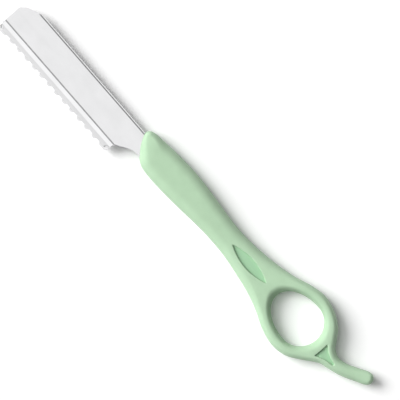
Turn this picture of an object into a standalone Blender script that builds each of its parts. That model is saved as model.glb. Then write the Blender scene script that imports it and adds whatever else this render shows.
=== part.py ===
# Hair thinning razor with a finger ring
#
# A sheet of stainless steel, folded over at the spine, makes the head. Its two jaws hold a single-edged
# blade, and their flared edges are the rails of a folded comb guard, whose round teeth pass the blade's edge.
# A flat bar between the cheeks stops the back of the blade and runs on as the tang. The tang sits in a hard
# handle core, which shows as the floor of the recesses in the soft-touch skin.
#
# The tool lies on its side, with X from the tip to the tail, Y from the teeth to the spine and Z up. Its own
# frame has X = 0 at the tip, Y = 0 through the middle of the finger ring and Z = 0 in the plane of the blade.

import math

import bmesh
import bpy
from mathutils import Vector
from mathutils.geometry import interpolate_bezier

# Clearances
SEAT_GAP = 0.0003
OVERRUN = 0.002

# Blade
BLADE_LENGTH = 0.062
BLADE_WIDTH = 0.0095
BLADE_THICKNESS = 0.00025
BLADE_EDGE_THICKNESS = 0.00003
BLADE_BEVEL_WIDTH = 0.0012
BLADE_EDGE_SHOWN = 0.0002
BLADE_HOLE_RADIUS = 0.0013
BLADE_HOLE_SPACING = 0.036

# Folded head shell, heights measured down from the spine
SPINE_RISE = 0.0032
SHELL_SHEET = 0.0005
SPINE_BEND_RADIUS = 0.00065
CHEEK_HEIGHT = 0.0122
JOGGLE_HEIGHT = 0.0009
FLARE_HEIGHT = 0.0009
TIP_DROP = 0.00525
TIP_CHAMFER_RUN = 0.00205
TIP_CHAMFER_RISE = 0.0022
TIP_SLOPE_RUN = 0.008
HEEL_LENGTH = 0.0049
HEEL_RUN = 0.0107
TANG_END_HEIGHT = 0.00844
SHELL_TAIL_LENGTH = 0.0222

# Comb guard
GUARD_SHEET = 0.0004
GUARD_END_MARGIN = 0.0044
GUARD_BEND_RADIUS = 0.0003
STRIP_HEIGHT = 0.0017
STRIP_LEAN = 0.0009
TOOTH_PITCH = 0.00487
TOOTH_WIDTH = 0.0024
END_TOOTH_LEAST_WIDTH = 0.0045
TOOTH_HEIGHT = 0.0013
TOOTH_CORNER_RADIUS = 0.0009
TOOTH_ROOT_RADIUS = 0.0003
GUARD_CORNER_RADIUS = 0.0024

# Spine tang
TANG_THICKNESS = 0.0013
TANG_NOSE_SETBACK = 0.0018
TANG_NECK_HEIGHT = 0.0046
TANG_NECK_LENGTH = 0.038
TANG_FILLET = 0.003
LOCK_HOLE_RADIUS = 0.0012
LOCK_HOLE_SPACING = 0.013
LOCK_HOLE_SETBACK = 0.006

# Tang rivets
RIVET_RADIUS = 0.001
RIVET_HEAD_RADIUS = 0.0019
RIVET_HEAD_HEIGHT = 0.0005
RIVET_SETBACK = 0.005
RIVET_SPACING = 0.0085

# Handle
HANDLE_LENGTH = 0.1443
GRIP_WIDTH = 0.01625
WAIST_WIDTH = 0.0122
RING_WIDTH = 0.031
TAIL_WIDTH = 0.0058
GRIP_THICKNESS = 0.0095
RING_THICKNESS = 0.0082
TAIL_THICKNESS = 0.006
NOSE_ROUND = 0.0019
GRIP_ROUND = 0.0032
RING_ROUND = 0.0021
TAIL_ROUND = 0.0021
SKIN_THICKNESS = 0.0008

# Finger ring, its hole an egg whose front half is the longer
RING_WALL = 0.00535
RING_HOLE_WIDTH = RING_WIDTH - 2 * RING_WALL
RING_HOLE_FRONT = 0.0157
RING_HOLE_BACK = 0.0098
RING_HOLE_DISH = 0.0036

# Recesses
LEAF_LENGTH = 0.0214
LEAF_WIDTH = 0.0047
WEDGE_LENGTH = 0.0081
WEDGE_WIDTH = 0.0073
WEDGE_HOLLOW = 0.00075

# Outline of the handle, each knot as its share of the handle's length and of the width of its zone
GRIP_SPINE_SHARES = ((0.0, 0.19), (0.004, 0.31), (0.0187, 0.382), (0.0638, 0.434), (0.113, 0.48),
                     (0.1753, 0.508), (0.2377, 0.495))
WAIST_SPINE_SHARES = ((0.307, 0.59), (0.3694, 0.533), (0.4248, 0.529))
RING_SPINE_SHARES = ((0.4872, 0.2355), (0.5565, 0.2903), (0.6119, 0.358), (0.6674, 0.4548), (0.7193, 0.5),
                     (0.7713, 0.4484), (0.8094, 0.3516), (0.8392, 0.2032), (0.8551, 0.121), (0.8787, 0.0823))
RING_TEETH_SHARES = ((0.8787, -0.1339), (0.8565, -0.1645), (0.8392, -0.2177), (0.8094, -0.331),
                     (0.7713, -0.4516), (0.7228, -0.5), (0.6674, -0.458), (0.6119, -0.3565),
                     (0.5565, -0.2823), (0.4872, -0.2274))
WAIST_TEETH_SHARES = ((0.4248, -0.4877), (0.3555, -0.4713), (0.2862, -0.5246))
GRIP_TEETH_SHARES = ((0.2169, -0.4523), (0.1476, -0.4923), (0.0956, -0.4954), (0.0644, -0.4554),
                     (0.0388, -0.32), (0.0166, -0.0985))

# Middle line of the curved tail, as shares of the handle's length and of the ring's width
TAIL_LINE_SHARES = ((0.9162, 0.0258), (0.9584, 0.1323), (0.98, 0.1887))

# How the head's sloping corner bends, as shares of its run and rise
TIP_SLOPE_SHARES = ((0.14, 0.25), (0.33, 0.43))

# Where the handle reaches a thickness or a rounding, as shares of its length
NOSE_SHARE = 0.0
BELLY_START_SHARE = 0.06
BELLY_END_SHARE = 0.25
RING_START_SHARE = 0.42
RING_END_SHARE = 0.8
TAIL_END_SHARE = 1.0
NOSE_THICKNESS_SHARE = 0.84
RING_MIDDLE_SHARE = 0.7277
LEAF_MIDDLE_SHARE = 0.4945
WEDGE_START_SHARE = 0.8268
WEDGE_MIDDLE_SHARE = -0.0313
WEDGE_TIP_SHARE = -0.038
WEDGE_HOLLOW_SHARES = (1.0, 0.6, 0.4)

# How finely the round shapes are divided
SKIN_STEPS = 3
CORE_STEPS = 2
EDGE_STEPS = 4
ROUND_STEPS = 4
HOLE_STEPS = 36
PIN_STEPS = 16
LEAF_STEPS = 8
METAL_SHARP_ANGLE = math.radians(25)
MOULDED_SHARP_ANGLE = math.radians(40)

# Heights of the head, from the spine down to the tips of the teeth
CHEEK_BOTTOM_Y = SPINE_RISE - CHEEK_HEIGHT
LAND_TOP_Y = CHEEK_BOTTOM_Y - JOGGLE_HEIGHT
LAND_BOTTOM_Y = LAND_TOP_Y - GUARD_SHEET - 2 * SEAT_GAP
RAIL_BOTTOM_Y = LAND_BOTTOM_Y - FLARE_HEIGHT
GUARD_TOP_Y = LAND_TOP_Y - SEAT_GAP
STRIP_TOP_Y = RAIL_BOTTOM_Y - SEAT_GAP
STRIP_BOTTOM_Y = STRIP_TOP_Y - STRIP_HEIGHT
TEETH_BOTTOM_Y = STRIP_BOTTOM_Y - TOOTH_HEIGHT
BLADE_EDGE_Y = STRIP_BOTTOM_Y - BLADE_EDGE_SHOWN
BLADE_BACK_Y = BLADE_EDGE_Y + BLADE_WIDTH
TANG_TOP_Y = SPINE_RISE - SHELL_SHEET - SEAT_GAP
TANG_BOTTOM_Y = BLADE_BACK_Y + SEAT_GAP
TANG_MIDDLE_Y = (TANG_TOP_Y + TANG_BOTTOM_Y) / 2
SHELL_TAIL_BOTTOM_Y = SPINE_RISE - TANG_END_HEIGHT

# Half thicknesses of the head, from the blade outwards
JAW_INNER_Z = BLADE_THICKNESS / 2 + SEAT_GAP
JAW_OUTER_Z = JAW_INNER_Z + SHELL_SHEET
CHEEK_INNER_Z = TANG_THICKNESS / 2 + SEAT_GAP
CHEEK_OUTER_Z = CHEEK_INNER_Z + SHELL_SHEET
LIP_INNER_Z = JAW_OUTER_Z + SEAT_GAP
GUARD_INNER_Z = CHEEK_OUTER_Z + SEAT_GAP
GUARD_OUTER_Z = GUARD_INNER_Z + GUARD_SHEET

# Places along the tool
GUARD_LENGTH = BLADE_LENGTH + 2 * GUARD_END_MARGIN
HANDLE_START_X = GUARD_LENGTH + HEEL_LENGTH
TOOL_LENGTH = HANDLE_START_X + HANDLE_LENGTH
TIP_SLOPE_END_X = TIP_CHAMFER_RUN + TIP_SLOPE_RUN
SHELL_TAIL_X = HANDLE_START_X + SHELL_TAIL_LENGTH
TANG_TAIL_X = SHELL_TAIL_X + TANG_NECK_LENGTH
RING_MIDDLE_X = HANDLE_START_X + RING_MIDDLE_SHARE * HANDLE_LENGTH
RIVET_XS = (SHELL_TAIL_X - RIVET_SETBACK - RIVET_SPACING, SHELL_TAIL_X - RIVET_SETBACK)
LOCK_HOLE_XS = (TANG_TAIL_X - LOCK_HOLE_SETBACK - LOCK_HOLE_SPACING, TANG_TAIL_X - LOCK_HOLE_SETBACK)

# Teeth at the even pitch, as many as leave a wide tooth at each end of the guard
TOOTH_GAP = TOOTH_PITCH - TOOTH_WIDTH
TOOTH_COUNT = 2 + int((GUARD_LENGTH - 2 * END_TOOTH_LEAST_WIDTH - TOOTH_GAP) / TOOTH_PITCH)

# Colours seen on the tool, in sRGB
STEEL_COLOUR = (0.9, 0.9, 0.9)
GUARD_COLOUR = (0.82, 0.82, 0.82)
BLADE_COLOUR = (0.72, 0.73, 0.74)
TANG_COLOUR = (0.6, 0.6, 0.6)
SKIN_COLOUR = (0.71, 0.82, 0.7)
CORE_COLOUR = (0.6, 0.75, 0.61)


# Materials

def linear(channel):
    """Turn one sRGB channel into scene linear light."""
    if channel <= 0.04045:
        return channel / 12.92
    return ((channel + 0.055) / 1.055) ** 2.4


def make_material(name, colour, roughness, metallic):
    """A Principled material of one plain finish."""
    material = bpy.data.materials.new(name)
    material.use_nodes = True
    shader = material.node_tree.nodes["Principled BSDF"]
    shader.inputs["Base Color"].default_value = (*(linear(channel) for channel in colour), 1.0)
    shader.inputs["Roughness"].default_value = roughness
    shader.inputs["Metallic"].default_value = metallic
    return material


# Objects

def make_frame(name, location, parent=None):
    """An empty that carries pieces."""
    frame = bpy.data.objects.new(name, None)
    frame.location = location
    frame.parent = parent
    bpy.context.scene.collection.objects.link(frame)
    return frame


def add_object(name, form, parent):
    """Put a finished bmesh into the scene."""
    bmesh.ops.recalc_face_normals(form, faces=form.faces)
    mesh = bpy.data.meshes.new(name)
    form.to_mesh(mesh)
    form.free()
    thing = bpy.data.objects.new(name, mesh)
    thing.parent = parent
    bpy.context.scene.collection.objects.link(thing)
    return thing


def make_piece(name, form, material, parent, sharp_angle):
    """A piece of the tool, shaded smooth over bends that are less than its sharp angle."""
    piece = add_object(name, form, parent)
    piece.data.shade_smooth()
    piece.data.set_sharp_from_angle(angle=sharp_angle)
    piece.data.materials.append(material)
    return piece


def make_cutter(name, form, parent):
    """A guide that only shapes other pieces, shaded flat so that its cuts have crisp edges."""
    cutter = add_object(name, form, parent)
    cutter.hide_render = True
    cutter.display_type = "WIRE"
    return cutter


def combine(piece, other, operation):
    """Shape a piece by another with a live boolean."""
    modifier = piece.modifiers.new(other.name, "BOOLEAN")
    modifier.operation = operation
    modifier.solver = "EXACT"
    modifier.object = other


# Curves

def arc(centre, radii, start, end, steps):
    """Points on an arc or part of an ellipse, angles in degrees."""
    points = []
    for step in range(steps + 1):
        angle = math.radians(start + (end - start) * step / steps)
        points.append(Vector((centre[0] + radii[0] * math.cos(angle), centre[1] + radii[1] * math.sin(angle))))
    return points


def bezier(start, start_handle, end_handle, end, steps):
    """Points on one cubic curve in the plane."""
    return interpolate_bezier(Vector(start), Vector(start_handle), Vector(end_handle), Vector(end), steps + 1)


def closed_curve(knots, steps):
    """A smooth closed curve through its knots, evenly divided between each two of them."""
    points = []
    count = len(knots)
    for index in range(count):
        before, start, end, after = (knots[(index + shift) % count] for shift in (-1, 0, 1, 2))
        span = math.sqrt((end - start).length)
        span_before = math.sqrt((start - before).length)
        span_after = math.sqrt((after - end).length)
        leave = (start - before) / span_before - (end - before) / (span_before + span) + (end - start) / span
        arrive = (end - start) / span - (after - start) / (span + span_after) + (after - end) / span_after
        handle = span / 3
        points += bezier(start, start + leave * handle, end - arrive * handle, end, steps)[:-1]
    return points


def normals_left(points):
    """Unit normals on the left of a closed curve."""
    count = len(points)
    normals = []
    for index in range(count):
        along = (points[(index + 1) % count] - points[index - 1]).normalized()
        normals.append(Vector((-along.y, along.x)))
    return normals


def blend(stations, place):
    """Ease from one station's value to the next; each station is a place and a value."""
    for (start, value), (end, next_value) in zip(stations, stations[1:]):
        if place <= end:
            part = min(max((place - start) / (end - start), 0), 1)
            return value + (next_value - value) * part * part * (3 - 2 * part)
    return stations[-1][1]


# Sections and solids

def thick_line(line, thickness):
    """The closed outline of a bent sheet, from its middle line."""
    left, right = [], []
    for index, point in enumerate(line):
        ahead = line[min(index + 1, len(line) - 1)] - line[min(index, len(line) - 2)]
        behind = line[max(index, 1)] - line[max(index - 1, 0)]
        normal_ahead = Vector((-ahead.y, ahead.x)).normalized()
        normal_behind = Vector((-behind.y, behind.x)).normalized()
        mitre = (normal_ahead + normal_behind).normalized()
        reach = thickness / 2 / mitre.dot(normal_ahead)
        left.append(point + mitre * reach)
        right.append(point - mitre * reach)
    return left + right[::-1]


def mirrored_line(half_line):
    """A whole section's middle line, from its upper half, which starts or ends off the middle plane."""
    lower = [Vector((point.x, -point.y)) for point in half_line]
    return lower[::-1] + half_line


def add_prism(form, outline, place):
    """Add a closed prism; place turns an outline point and an end number into a 3-D point."""
    ends = [[form.verts.new(place(point, end)) for point in outline] for end in (0, 1)]
    form.faces.new(ends[0])
    form.faces.new(ends[1][::-1])
    for index in range(len(outline)):
        low, low_next = ends[0][index - 1], ends[0][index]
        high, high_next = ends[1][index - 1], ends[1][index]
        form.faces.new((low, low_next, high_next, high))


def flat_prisms(outlines, half_height):
    """Prisms of XY outlines, standing equally above and below the middle plane."""
    form = bmesh.new()
    for outline in outlines:
        add_prism(form, outline, lambda point, end: (point.x, point.y, (2 * end - 1) * half_height))
    return form


def long_prism(section, start, end):
    """A prism of a YZ section, drawn out along X."""
    form = bmesh.new()
    add_prism(form, section, lambda point, side: (start + side * (end - start), point.x, point.y))
    return form


def turned(profile, centre, form=None):
    """A round solid on a Z axis, from points of radius and height that start and end on the axis."""
    form = form or bmesh.new()
    rings = []
    for radius, height in profile[1:-1]:
        circle = arc(centre, (radius, radius), 0, 360 - 360 / PIN_STEPS, PIN_STEPS - 1)
        rings.append([form.verts.new((point.x, point.y, height)) for point in circle])
    for ring, next_ring in zip(rings, rings[1:]):
        for index in range(PIN_STEPS):
            form.faces.new((ring[index - 1], ring[index], next_ring[index], next_ring[index - 1]))
    form.faces.new(rings[0])
    form.faces.new(rings[-1][::-1])
    return form


def round_bar(radius, half_height, centre, form=None):
    """A plain cylinder through the middle plane."""
    ends = (0, -half_height), (radius, -half_height), (radius, half_height), (0, half_height)
    return turned(ends, centre, form)


# Blade

def make_blade(parent, material):
    """The single-edged blade, ground to a bevel along its edge, with its two holes."""
    half = BLADE_THICKNESS / 2
    bevel_y = BLADE_EDGE_Y + BLADE_BEVEL_WIDTH
    upper = [Vector((BLADE_BACK_Y, half)), Vector((bevel_y, half)), Vector((BLADE_EDGE_Y, BLADE_EDGE_THICKNESS / 2))]
    lower = [Vector((point.x, -point.y)) for point in upper]
    form = long_prism(upper + lower[::-1], GUARD_END_MARGIN, GUARD_END_MARGIN + BLADE_LENGTH)
    blade = make_piece("razor_blade", form, material, parent, METAL_SHARP_ANGLE)
    middle_x = GUARD_LENGTH / 2
    middle_y = (BLADE_BACK_Y + BLADE_EDGE_Y) / 2
    holes = bmesh.new()
    for side in (-1, 1):
        centre = (middle_x + side * BLADE_HOLE_SPACING / 2, middle_y)
        round_bar(BLADE_HOLE_RADIUS, half + OVERRUN, centre, holes)
    combine(blade, make_cutter("blade_hole_cutter", holes, parent), "DIFFERENCE")


# Head shell

def shell_line():
    """Middle line of the folded sheet: spine, cheek, joggle, jaw and flared rail, mirrored."""
    cheek_z = CHEEK_OUTER_Z - SHELL_SHEET / 2
    jaw_z = JAW_OUTER_Z - SHELL_SHEET / 2
    bend_y = SPINE_RISE - SHELL_SHEET / 2 - SPINE_BEND_RADIUS
    bend_z = cheek_z - SPINE_BEND_RADIUS
    upper = arc((bend_y, bend_z), (SPINE_BEND_RADIUS, SPINE_BEND_RADIUS), 0, 90, ROUND_STEPS)
    upper += [Vector((CHEEK_BOTTOM_Y, cheek_z)), Vector((LAND_TOP_Y, jaw_z)),
              Vector((LAND_BOTTOM_Y, jaw_z)), Vector((RAIL_BOTTOM_Y, cheek_z))]
    return mirrored_line(upper)


def tip_slope(setback):
    """The sloping upper corner of the head, moved back along the head by a setback."""
    start = Vector((TIP_CHAMFER_RUN + setback, SPINE_RISE - TIP_DROP + TIP_CHAMFER_RISE))
    end = Vector((TIP_SLOPE_END_X + setback, SPINE_RISE))
    handles = [start + (end - start) * Vector(shares) for shares in TIP_SLOPE_SHARES]
    return bezier(start, *handles, end, ROUND_STEPS)


def head_outline():
    """Side view of the shell: tip, sloping corner, spine, tail in the handle and curved heel."""
    above = SPINE_RISE + OVERRUN
    below = RAIL_BOTTOM_Y - OVERRUN
    slope = tip_slope(0)
    heel_end_x = GUARD_LENGTH + HEEL_RUN
    heel_start_y = CHEEK_BOTTOM_Y
    rise = SHELL_TAIL_BOTTOM_Y - heel_start_y
    heel = bezier((heel_end_x, SHELL_TAIL_BOTTOM_Y), (heel_end_x - HEEL_RUN / 2, SHELL_TAIL_BOTTOM_Y),
                  (GUARD_LENGTH + HEEL_RUN / 3, heel_start_y + rise / 3), (GUARD_LENGTH, heel_start_y), 2 * ROUND_STEPS)
    outline = [Vector((0, below)), Vector((0, SPINE_RISE - TIP_DROP))] + slope
    outline += [Vector((slope[-1].x, above)), Vector((SHELL_TAIL_X, above)),
                Vector((SHELL_TAIL_X, SHELL_TAIL_BOTTOM_Y))]
    return outline + heel + [Vector((GUARD_LENGTH, below))]


def make_shell(parent, material):
    """The folded section drawn along the head and trimmed to its side view."""
    form = long_prism(thick_line(shell_line(), SHELL_SHEET), -OVERRUN, SHELL_TAIL_X + OVERRUN)
    shell = make_piece("head_shell", form, material, parent, METAL_SHARP_ANGLE)
    side_view = flat_prisms([head_outline()], GUARD_OUTER_Z + OVERRUN)
    combine(shell, make_cutter("head_outline_cutter", side_view, parent), "INTERSECT")
    return shell


# Comb guard

def guard_line():
    """Middle line of the guard's folded strip: lip, flange, sloping strip and the fold of the teeth, mirrored."""
    flange_z = GUARD_OUTER_Z - GUARD_SHEET / 2
    lip_y = GUARD_TOP_Y - GUARD_SHEET / 2
    bend = (lip_y - GUARD_BEND_RADIUS, flange_z - GUARD_BEND_RADIUS)
    strip_end = Vector((STRIP_BOTTOM_Y, flange_z - STRIP_LEAN))
    fold_end = Vector((TEETH_BOTTOM_Y + GUARD_SHEET / 2, 0))
    lean = (strip_end - Vector((STRIP_TOP_Y, flange_z))).normalized()
    upper = [Vector((lip_y, LIP_INNER_Z))]
    upper += arc(bend, (GUARD_BEND_RADIUS, GUARD_BEND_RADIUS), 0, 90, ROUND_STEPS)
    upper += [Vector((STRIP_TOP_Y, flange_z))]
    fold = bezier(strip_end, strip_end + lean * TOOTH_HEIGHT / 2, fold_end + Vector((0, strip_end.y / 2)),
                  fold_end, ROUND_STEPS)
    upper += fold[:-1]
    lower = [Vector((point.x, -point.y)) for point in upper]
    return upper + [fold[-1]] + lower[::-1]


def gap_outline(middle_x):
    """One opening between two teeth: rounded roots, straight flanks and the round corners of both teeth."""
    half = TOOTH_GAP / 2
    root_y = STRIP_BOTTOM_Y - TOOTH_ROOT_RADIUS
    corner_y = TEETH_BOTTOM_Y + TOOTH_CORNER_RADIUS
    roots = (TOOTH_ROOT_RADIUS, TOOTH_ROOT_RADIUS)
    corners = (TOOTH_CORNER_RADIUS, TOOTH_CORNER_RADIUS)
    right = arc((middle_x + half - TOOTH_ROOT_RADIUS, root_y), roots, 90, 0, ROUND_STEPS // 2)
    right += arc((middle_x + half + TOOTH_CORNER_RADIUS, corner_y), corners, 180, 270, ROUND_STEPS)
    right += [Vector((middle_x + half + TOOTH_CORNER_RADIUS, TEETH_BOTTOM_Y - OVERRUN))]
    left = [Vector((2 * middle_x - point.x, point.y)) for point in right]
    return right + left[::-1]


def guard_end_outline(end_x, side):
    """What is cut from a lower corner of the guard to leave it round; side points out of the guard."""
    radii = (side * GUARD_CORNER_RADIUS, GUARD_CORNER_RADIUS)
    centre = (end_x - side * GUARD_CORNER_RADIUS, TEETH_BOTTOM_Y + GUARD_CORNER_RADIUS)
    corner = arc(centre, radii, 0, -90, ROUND_STEPS)
    beyond_x = end_x + side * OVERRUN
    return [Vector((beyond_x, centre[1]))] + corner + [Vector((centre[0], TEETH_BOTTOM_Y - OVERRUN)),
                                                      Vector((beyond_x, TEETH_BOTTOM_Y - OVERRUN))]


def make_guard(parent, material):
    """The folded comb strip, its gaps and corners cut through both sides at once."""
    form = long_prism(thick_line(guard_line(), GUARD_SHEET), 0, GUARD_LENGTH)
    guard = make_piece("comb_guard", form, material, parent, METAL_SHARP_ANGLE)
    first_gap_x = GUARD_LENGTH / 2 - TOOTH_PITCH * (TOOTH_COUNT - 2) / 2
    outlines = [gap_outline(first_gap_x + index * TOOTH_PITCH) for index in range(TOOTH_COUNT - 1)]
    outlines += [guard_end_outline(0, -1), guard_end_outline(GUARD_LENGTH, 1)]
    cutter = make_cutter("comb_gap_cutter", flat_prisms(outlines, GUARD_OUTER_Z + OVERRUN), parent)
    combine(guard, cutter, "DIFFERENCE")


# Tang and rivets

def tang_outline(grow):
    """Side view of the flat bar: nose under the sloping corner, spacer, fillets and the narrow neck."""
    neck_radius = TANG_NECK_HEIGHT / 2 + grow
    neck_top = TANG_MIDDLE_Y + neck_radius
    neck_bottom = TANG_MIDDLE_Y - neck_radius
    top = TANG_TOP_Y + grow
    bottom = TANG_BOTTOM_Y - grow
    spacer = [Vector((TANG_NOSE_SETBACK, bottom)), Vector((TANG_NOSE_SETBACK, SPINE_RISE - TIP_DROP))]
    spacer += [Vector((point.x, min(point.y, top))) for point in tip_slope(TANG_NOSE_SETBACK)]
    fillet_middle_x = SHELL_TAIL_X + TANG_FILLET / 2
    fillet_end_x = SHELL_TAIL_X + TANG_FILLET
    upper = bezier((SHELL_TAIL_X, top), (fillet_middle_x, top), (fillet_middle_x, neck_top),
                   (fillet_end_x, neck_top), ROUND_STEPS)
    end = arc((TANG_TAIL_X - TANG_NECK_HEIGHT / 2, TANG_MIDDLE_Y), (neck_radius, neck_radius), 90, -90,
              2 * ROUND_STEPS)
    lower = bezier((fillet_end_x, neck_bottom), (fillet_middle_x, neck_bottom), (fillet_middle_x, bottom),
                   (SHELL_TAIL_X, bottom), ROUND_STEPS)
    return spacer + upper + end + lower


def make_tang(parent, material):
    """The flat bar that spaces the cheeks, stops the blade and anchors the head in the handle."""
    form = flat_prisms([tang_outline(0)], TANG_THICKNESS / 2)
    tang = make_piece("spine_tang", form, material, parent, METAL_SHARP_ANGLE)
    holes = bmesh.new()
    for hole_x in LOCK_HOLE_XS:
        round_bar(LOCK_HOLE_RADIUS, TANG_THICKNESS / 2 + OVERRUN, (hole_x, TANG_MIDDLE_Y), holes)
    combine(tang, make_cutter("lock_hole_cutter", holes, parent), "DIFFERENCE")
    return tang


def make_rivets(parent, material, riveted):
    """Two headed rivets across the cheeks and the bar, with their holes."""
    head_low = CHEEK_OUTER_Z + SEAT_GAP
    head_high = head_low + RIVET_HEAD_HEIGHT
    profile = ((0, -head_high), (RIVET_RADIUS, -head_high), (RIVET_HEAD_RADIUS, -head_low),
               (RIVET_RADIUS, -head_low), (RIVET_RADIUS, head_low), (RIVET_HEAD_RADIUS, head_low),
               (RIVET_RADIUS, head_high), (0, head_high))
    holes = bmesh.new()
    for name, rivet_x in zip(("front_tang_rivet", "rear_tang_rivet"), RIVET_XS):
        centre = (rivet_x, TANG_MIDDLE_Y)
        make_piece(name, turned(profile, centre), material, parent, METAL_SHARP_ANGLE)
        round_bar(RIVET_RADIUS + SEAT_GAP, CHEEK_OUTER_Z + OVERRUN, centre, holes)
    cutter = make_cutter("rivet_hole_cutter", holes, parent)
    for piece in riveted:
        combine(piece, cutter, "DIFFERENCE")


# Handle

def zone_knots(shares, width):
    """Knots of the outline from shares of the handle's length and of a width."""
    return [Vector((HANDLE_START_X + along * HANDLE_LENGTH, across * width)) for along, across in shares]


def tail_knots():
    """Knots round the curved tail: along its spine side, round its end and back along its other side."""
    line = zone_knots(TAIL_LINE_SHARES, RING_WIDTH)
    half = TAIL_WIDTH / 2
    line[-1].x = TOOL_LENGTH - half
    upper, lower = [], []
    for index, point in enumerate(line):
        along = line[min(index + 1, len(line) - 1)] - line[max(index - 1, 0)]
        side = Vector((-along.y, along.x)).normalized() * half
        upper.append(point + side)
        lower.append(point - side)
    lean = math.degrees(math.atan2(along.y, along.x))
    end = arc(line[-1], (half, half), lean + 90, lean - 90, ROUND_STEPS)
    return upper[:-1] + end + lower[-2::-1]


def handle_curve(steps):
    """The handle's outline, clockwise from the nose over the spine side."""
    knots = zone_knots(GRIP_SPINE_SHARES, GRIP_WIDTH)
    knots += zone_knots(WAIST_SPINE_SHARES, WAIST_WIDTH)
    knots += zone_knots(RING_SPINE_SHARES, RING_WIDTH)
    knots += tail_knots()
    knots += zone_knots(RING_TEETH_SHARES, RING_WIDTH)
    knots += zone_knots(WAIST_TEETH_SHARES, WAIST_WIDTH)
    knots += zone_knots(GRIP_TEETH_SHARES, GRIP_WIDTH)
    return closed_curve(knots, steps)


def ring_hole_curve():
    """The finger hole, anticlockwise: a long half ellipse in front and a short one behind."""
    half = RING_HOLE_WIDTH / 2
    centre = (RING_MIDDLE_X, 0)
    back = arc(centre, (RING_HOLE_BACK, half), -90, 90, HOLE_STEPS // 2)
    front = arc(centre, (RING_HOLE_FRONT, half), 90, 270, HOLE_STEPS // 2)
    return back[:-1] + front[:-1]


def half_thickness(x):
    """Half the handle's thickness at a place along the tool."""
    stations = ((NOSE_SHARE, GRIP_THICKNESS * NOSE_THICKNESS_SHARE), (BELLY_START_SHARE, GRIP_THICKNESS),
                (BELLY_END_SHARE, GRIP_THICKNESS), (RING_START_SHARE, RING_THICKNESS),
                (RING_END_SHARE, RING_THICKNESS), (TAIL_END_SHARE, TAIL_THICKNESS))
    return blend(stations, (x - HANDLE_START_X) / HANDLE_LENGTH) / 2


def rim_rounding(point):
    """How far the rounding reaches in from the outer edge."""
    stations = ((NOSE_SHARE, NOSE_ROUND), (BELLY_START_SHARE, GRIP_ROUND), (BELLY_END_SHARE, GRIP_ROUND),
                (RING_MIDDLE_SHARE, RING_ROUND), (TAIL_END_SHARE, TAIL_ROUND))
    return blend(stations, (point.x - HANDLE_START_X) / HANDLE_LENGTH)


def hole_rounding(point):
    """How far the rounding reaches out from the finger hole, widest where the finger leans on the front."""
    front = max((RING_MIDDLE_X - point.x) / RING_HOLE_FRONT, 0)
    return RING_ROUND + (RING_HOLE_DISH - RING_ROUND) * front ** 3


def handle_form(inset, steps):
    """The closed handle, or the body that lies an inset under its surface."""
    form = bmesh.new()
    rims = {1: [], -1: []}
    for curve, rounding in ((handle_curve(steps), rim_rounding), (ring_hole_curve(), hole_rounding)):
        rings = []
        for level in range(-EDGE_STEPS, EDGE_STEPS + 1):
            angle = math.radians(90 * level / EDGE_STEPS)
            ring = []
            for point, normal in zip(curve, normals_left(curve)):
                reach = inset + (rounding(point) - inset) * (1 - math.cos(angle))
                place = point - normal * reach
                height = (half_thickness(place.x) - inset) * math.sin(angle)
                ring.append(form.verts.new((place.x, place.y, height)))
            rings.append(ring)
        for ring, next_ring in zip(rings, rings[1:]):
            for index in range(len(ring)):
                form.faces.new((ring[index - 1], ring[index], next_ring[index], next_ring[index - 1]))
        rims[-1] += [form.edges.get((rings[0][index - 1], rings[0][index])) for index in range(len(curve))]
        rims[1] += [form.edges.get((rings[-1][index - 1], rings[-1][index])) for index in range(len(curve))]
    for side, edges in rims.items():
        bmesh.ops.triangle_fill(form, use_beauty=True, edges=edges, normal=Vector((0, 0, side)))
    return form


def leaf_outline():
    """The pointed leaf recess in the waist."""
    middle_x = HANDLE_START_X + LEAF_MIDDLE_SHARE * HANDLE_LENGTH
    upper = []
    for step in range(LEAF_STEPS + 1):
        along = 2 * step / LEAF_STEPS - 1
        upper.append(Vector((middle_x + along * LEAF_LENGTH / 2, (1 - along * along) * LEAF_WIDTH / 2)))
    lower = [Vector((point.x, -point.y)) for point in upper[1:-1]]
    return upper + lower[::-1]


def wedge_outline():
    """The three-cornered recess between ring and tail, with hollow sides."""
    start_x = HANDLE_START_X + WEDGE_START_SHARE * HANDLE_LENGTH
    middle_y = WEDGE_MIDDLE_SHARE * RING_WIDTH
    corners = (Vector((start_x, middle_y + WEDGE_WIDTH / 2)),
               Vector((start_x + WEDGE_LENGTH, WEDGE_TIP_SHARE * RING_WIDTH)),
               Vector((start_x, middle_y - WEDGE_WIDTH / 2)))
    centre = (corners[0] + corners[1] + corners[2]) / 3
    outline = []
    for corner, following, share in zip(corners, corners[1:] + corners[:1], WEDGE_HOLLOW_SHARES):
        inwards = (centre - (corner + following) / 2).normalized()
        pull = inwards * WEDGE_HOLLOW * share * 4 / 3
        outline += bezier(corner, corner.lerp(following, 1 / 3) + pull, corner.lerp(following, 2 / 3) + pull,
                          following, ROUND_STEPS)[:-1]
    return outline


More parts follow.
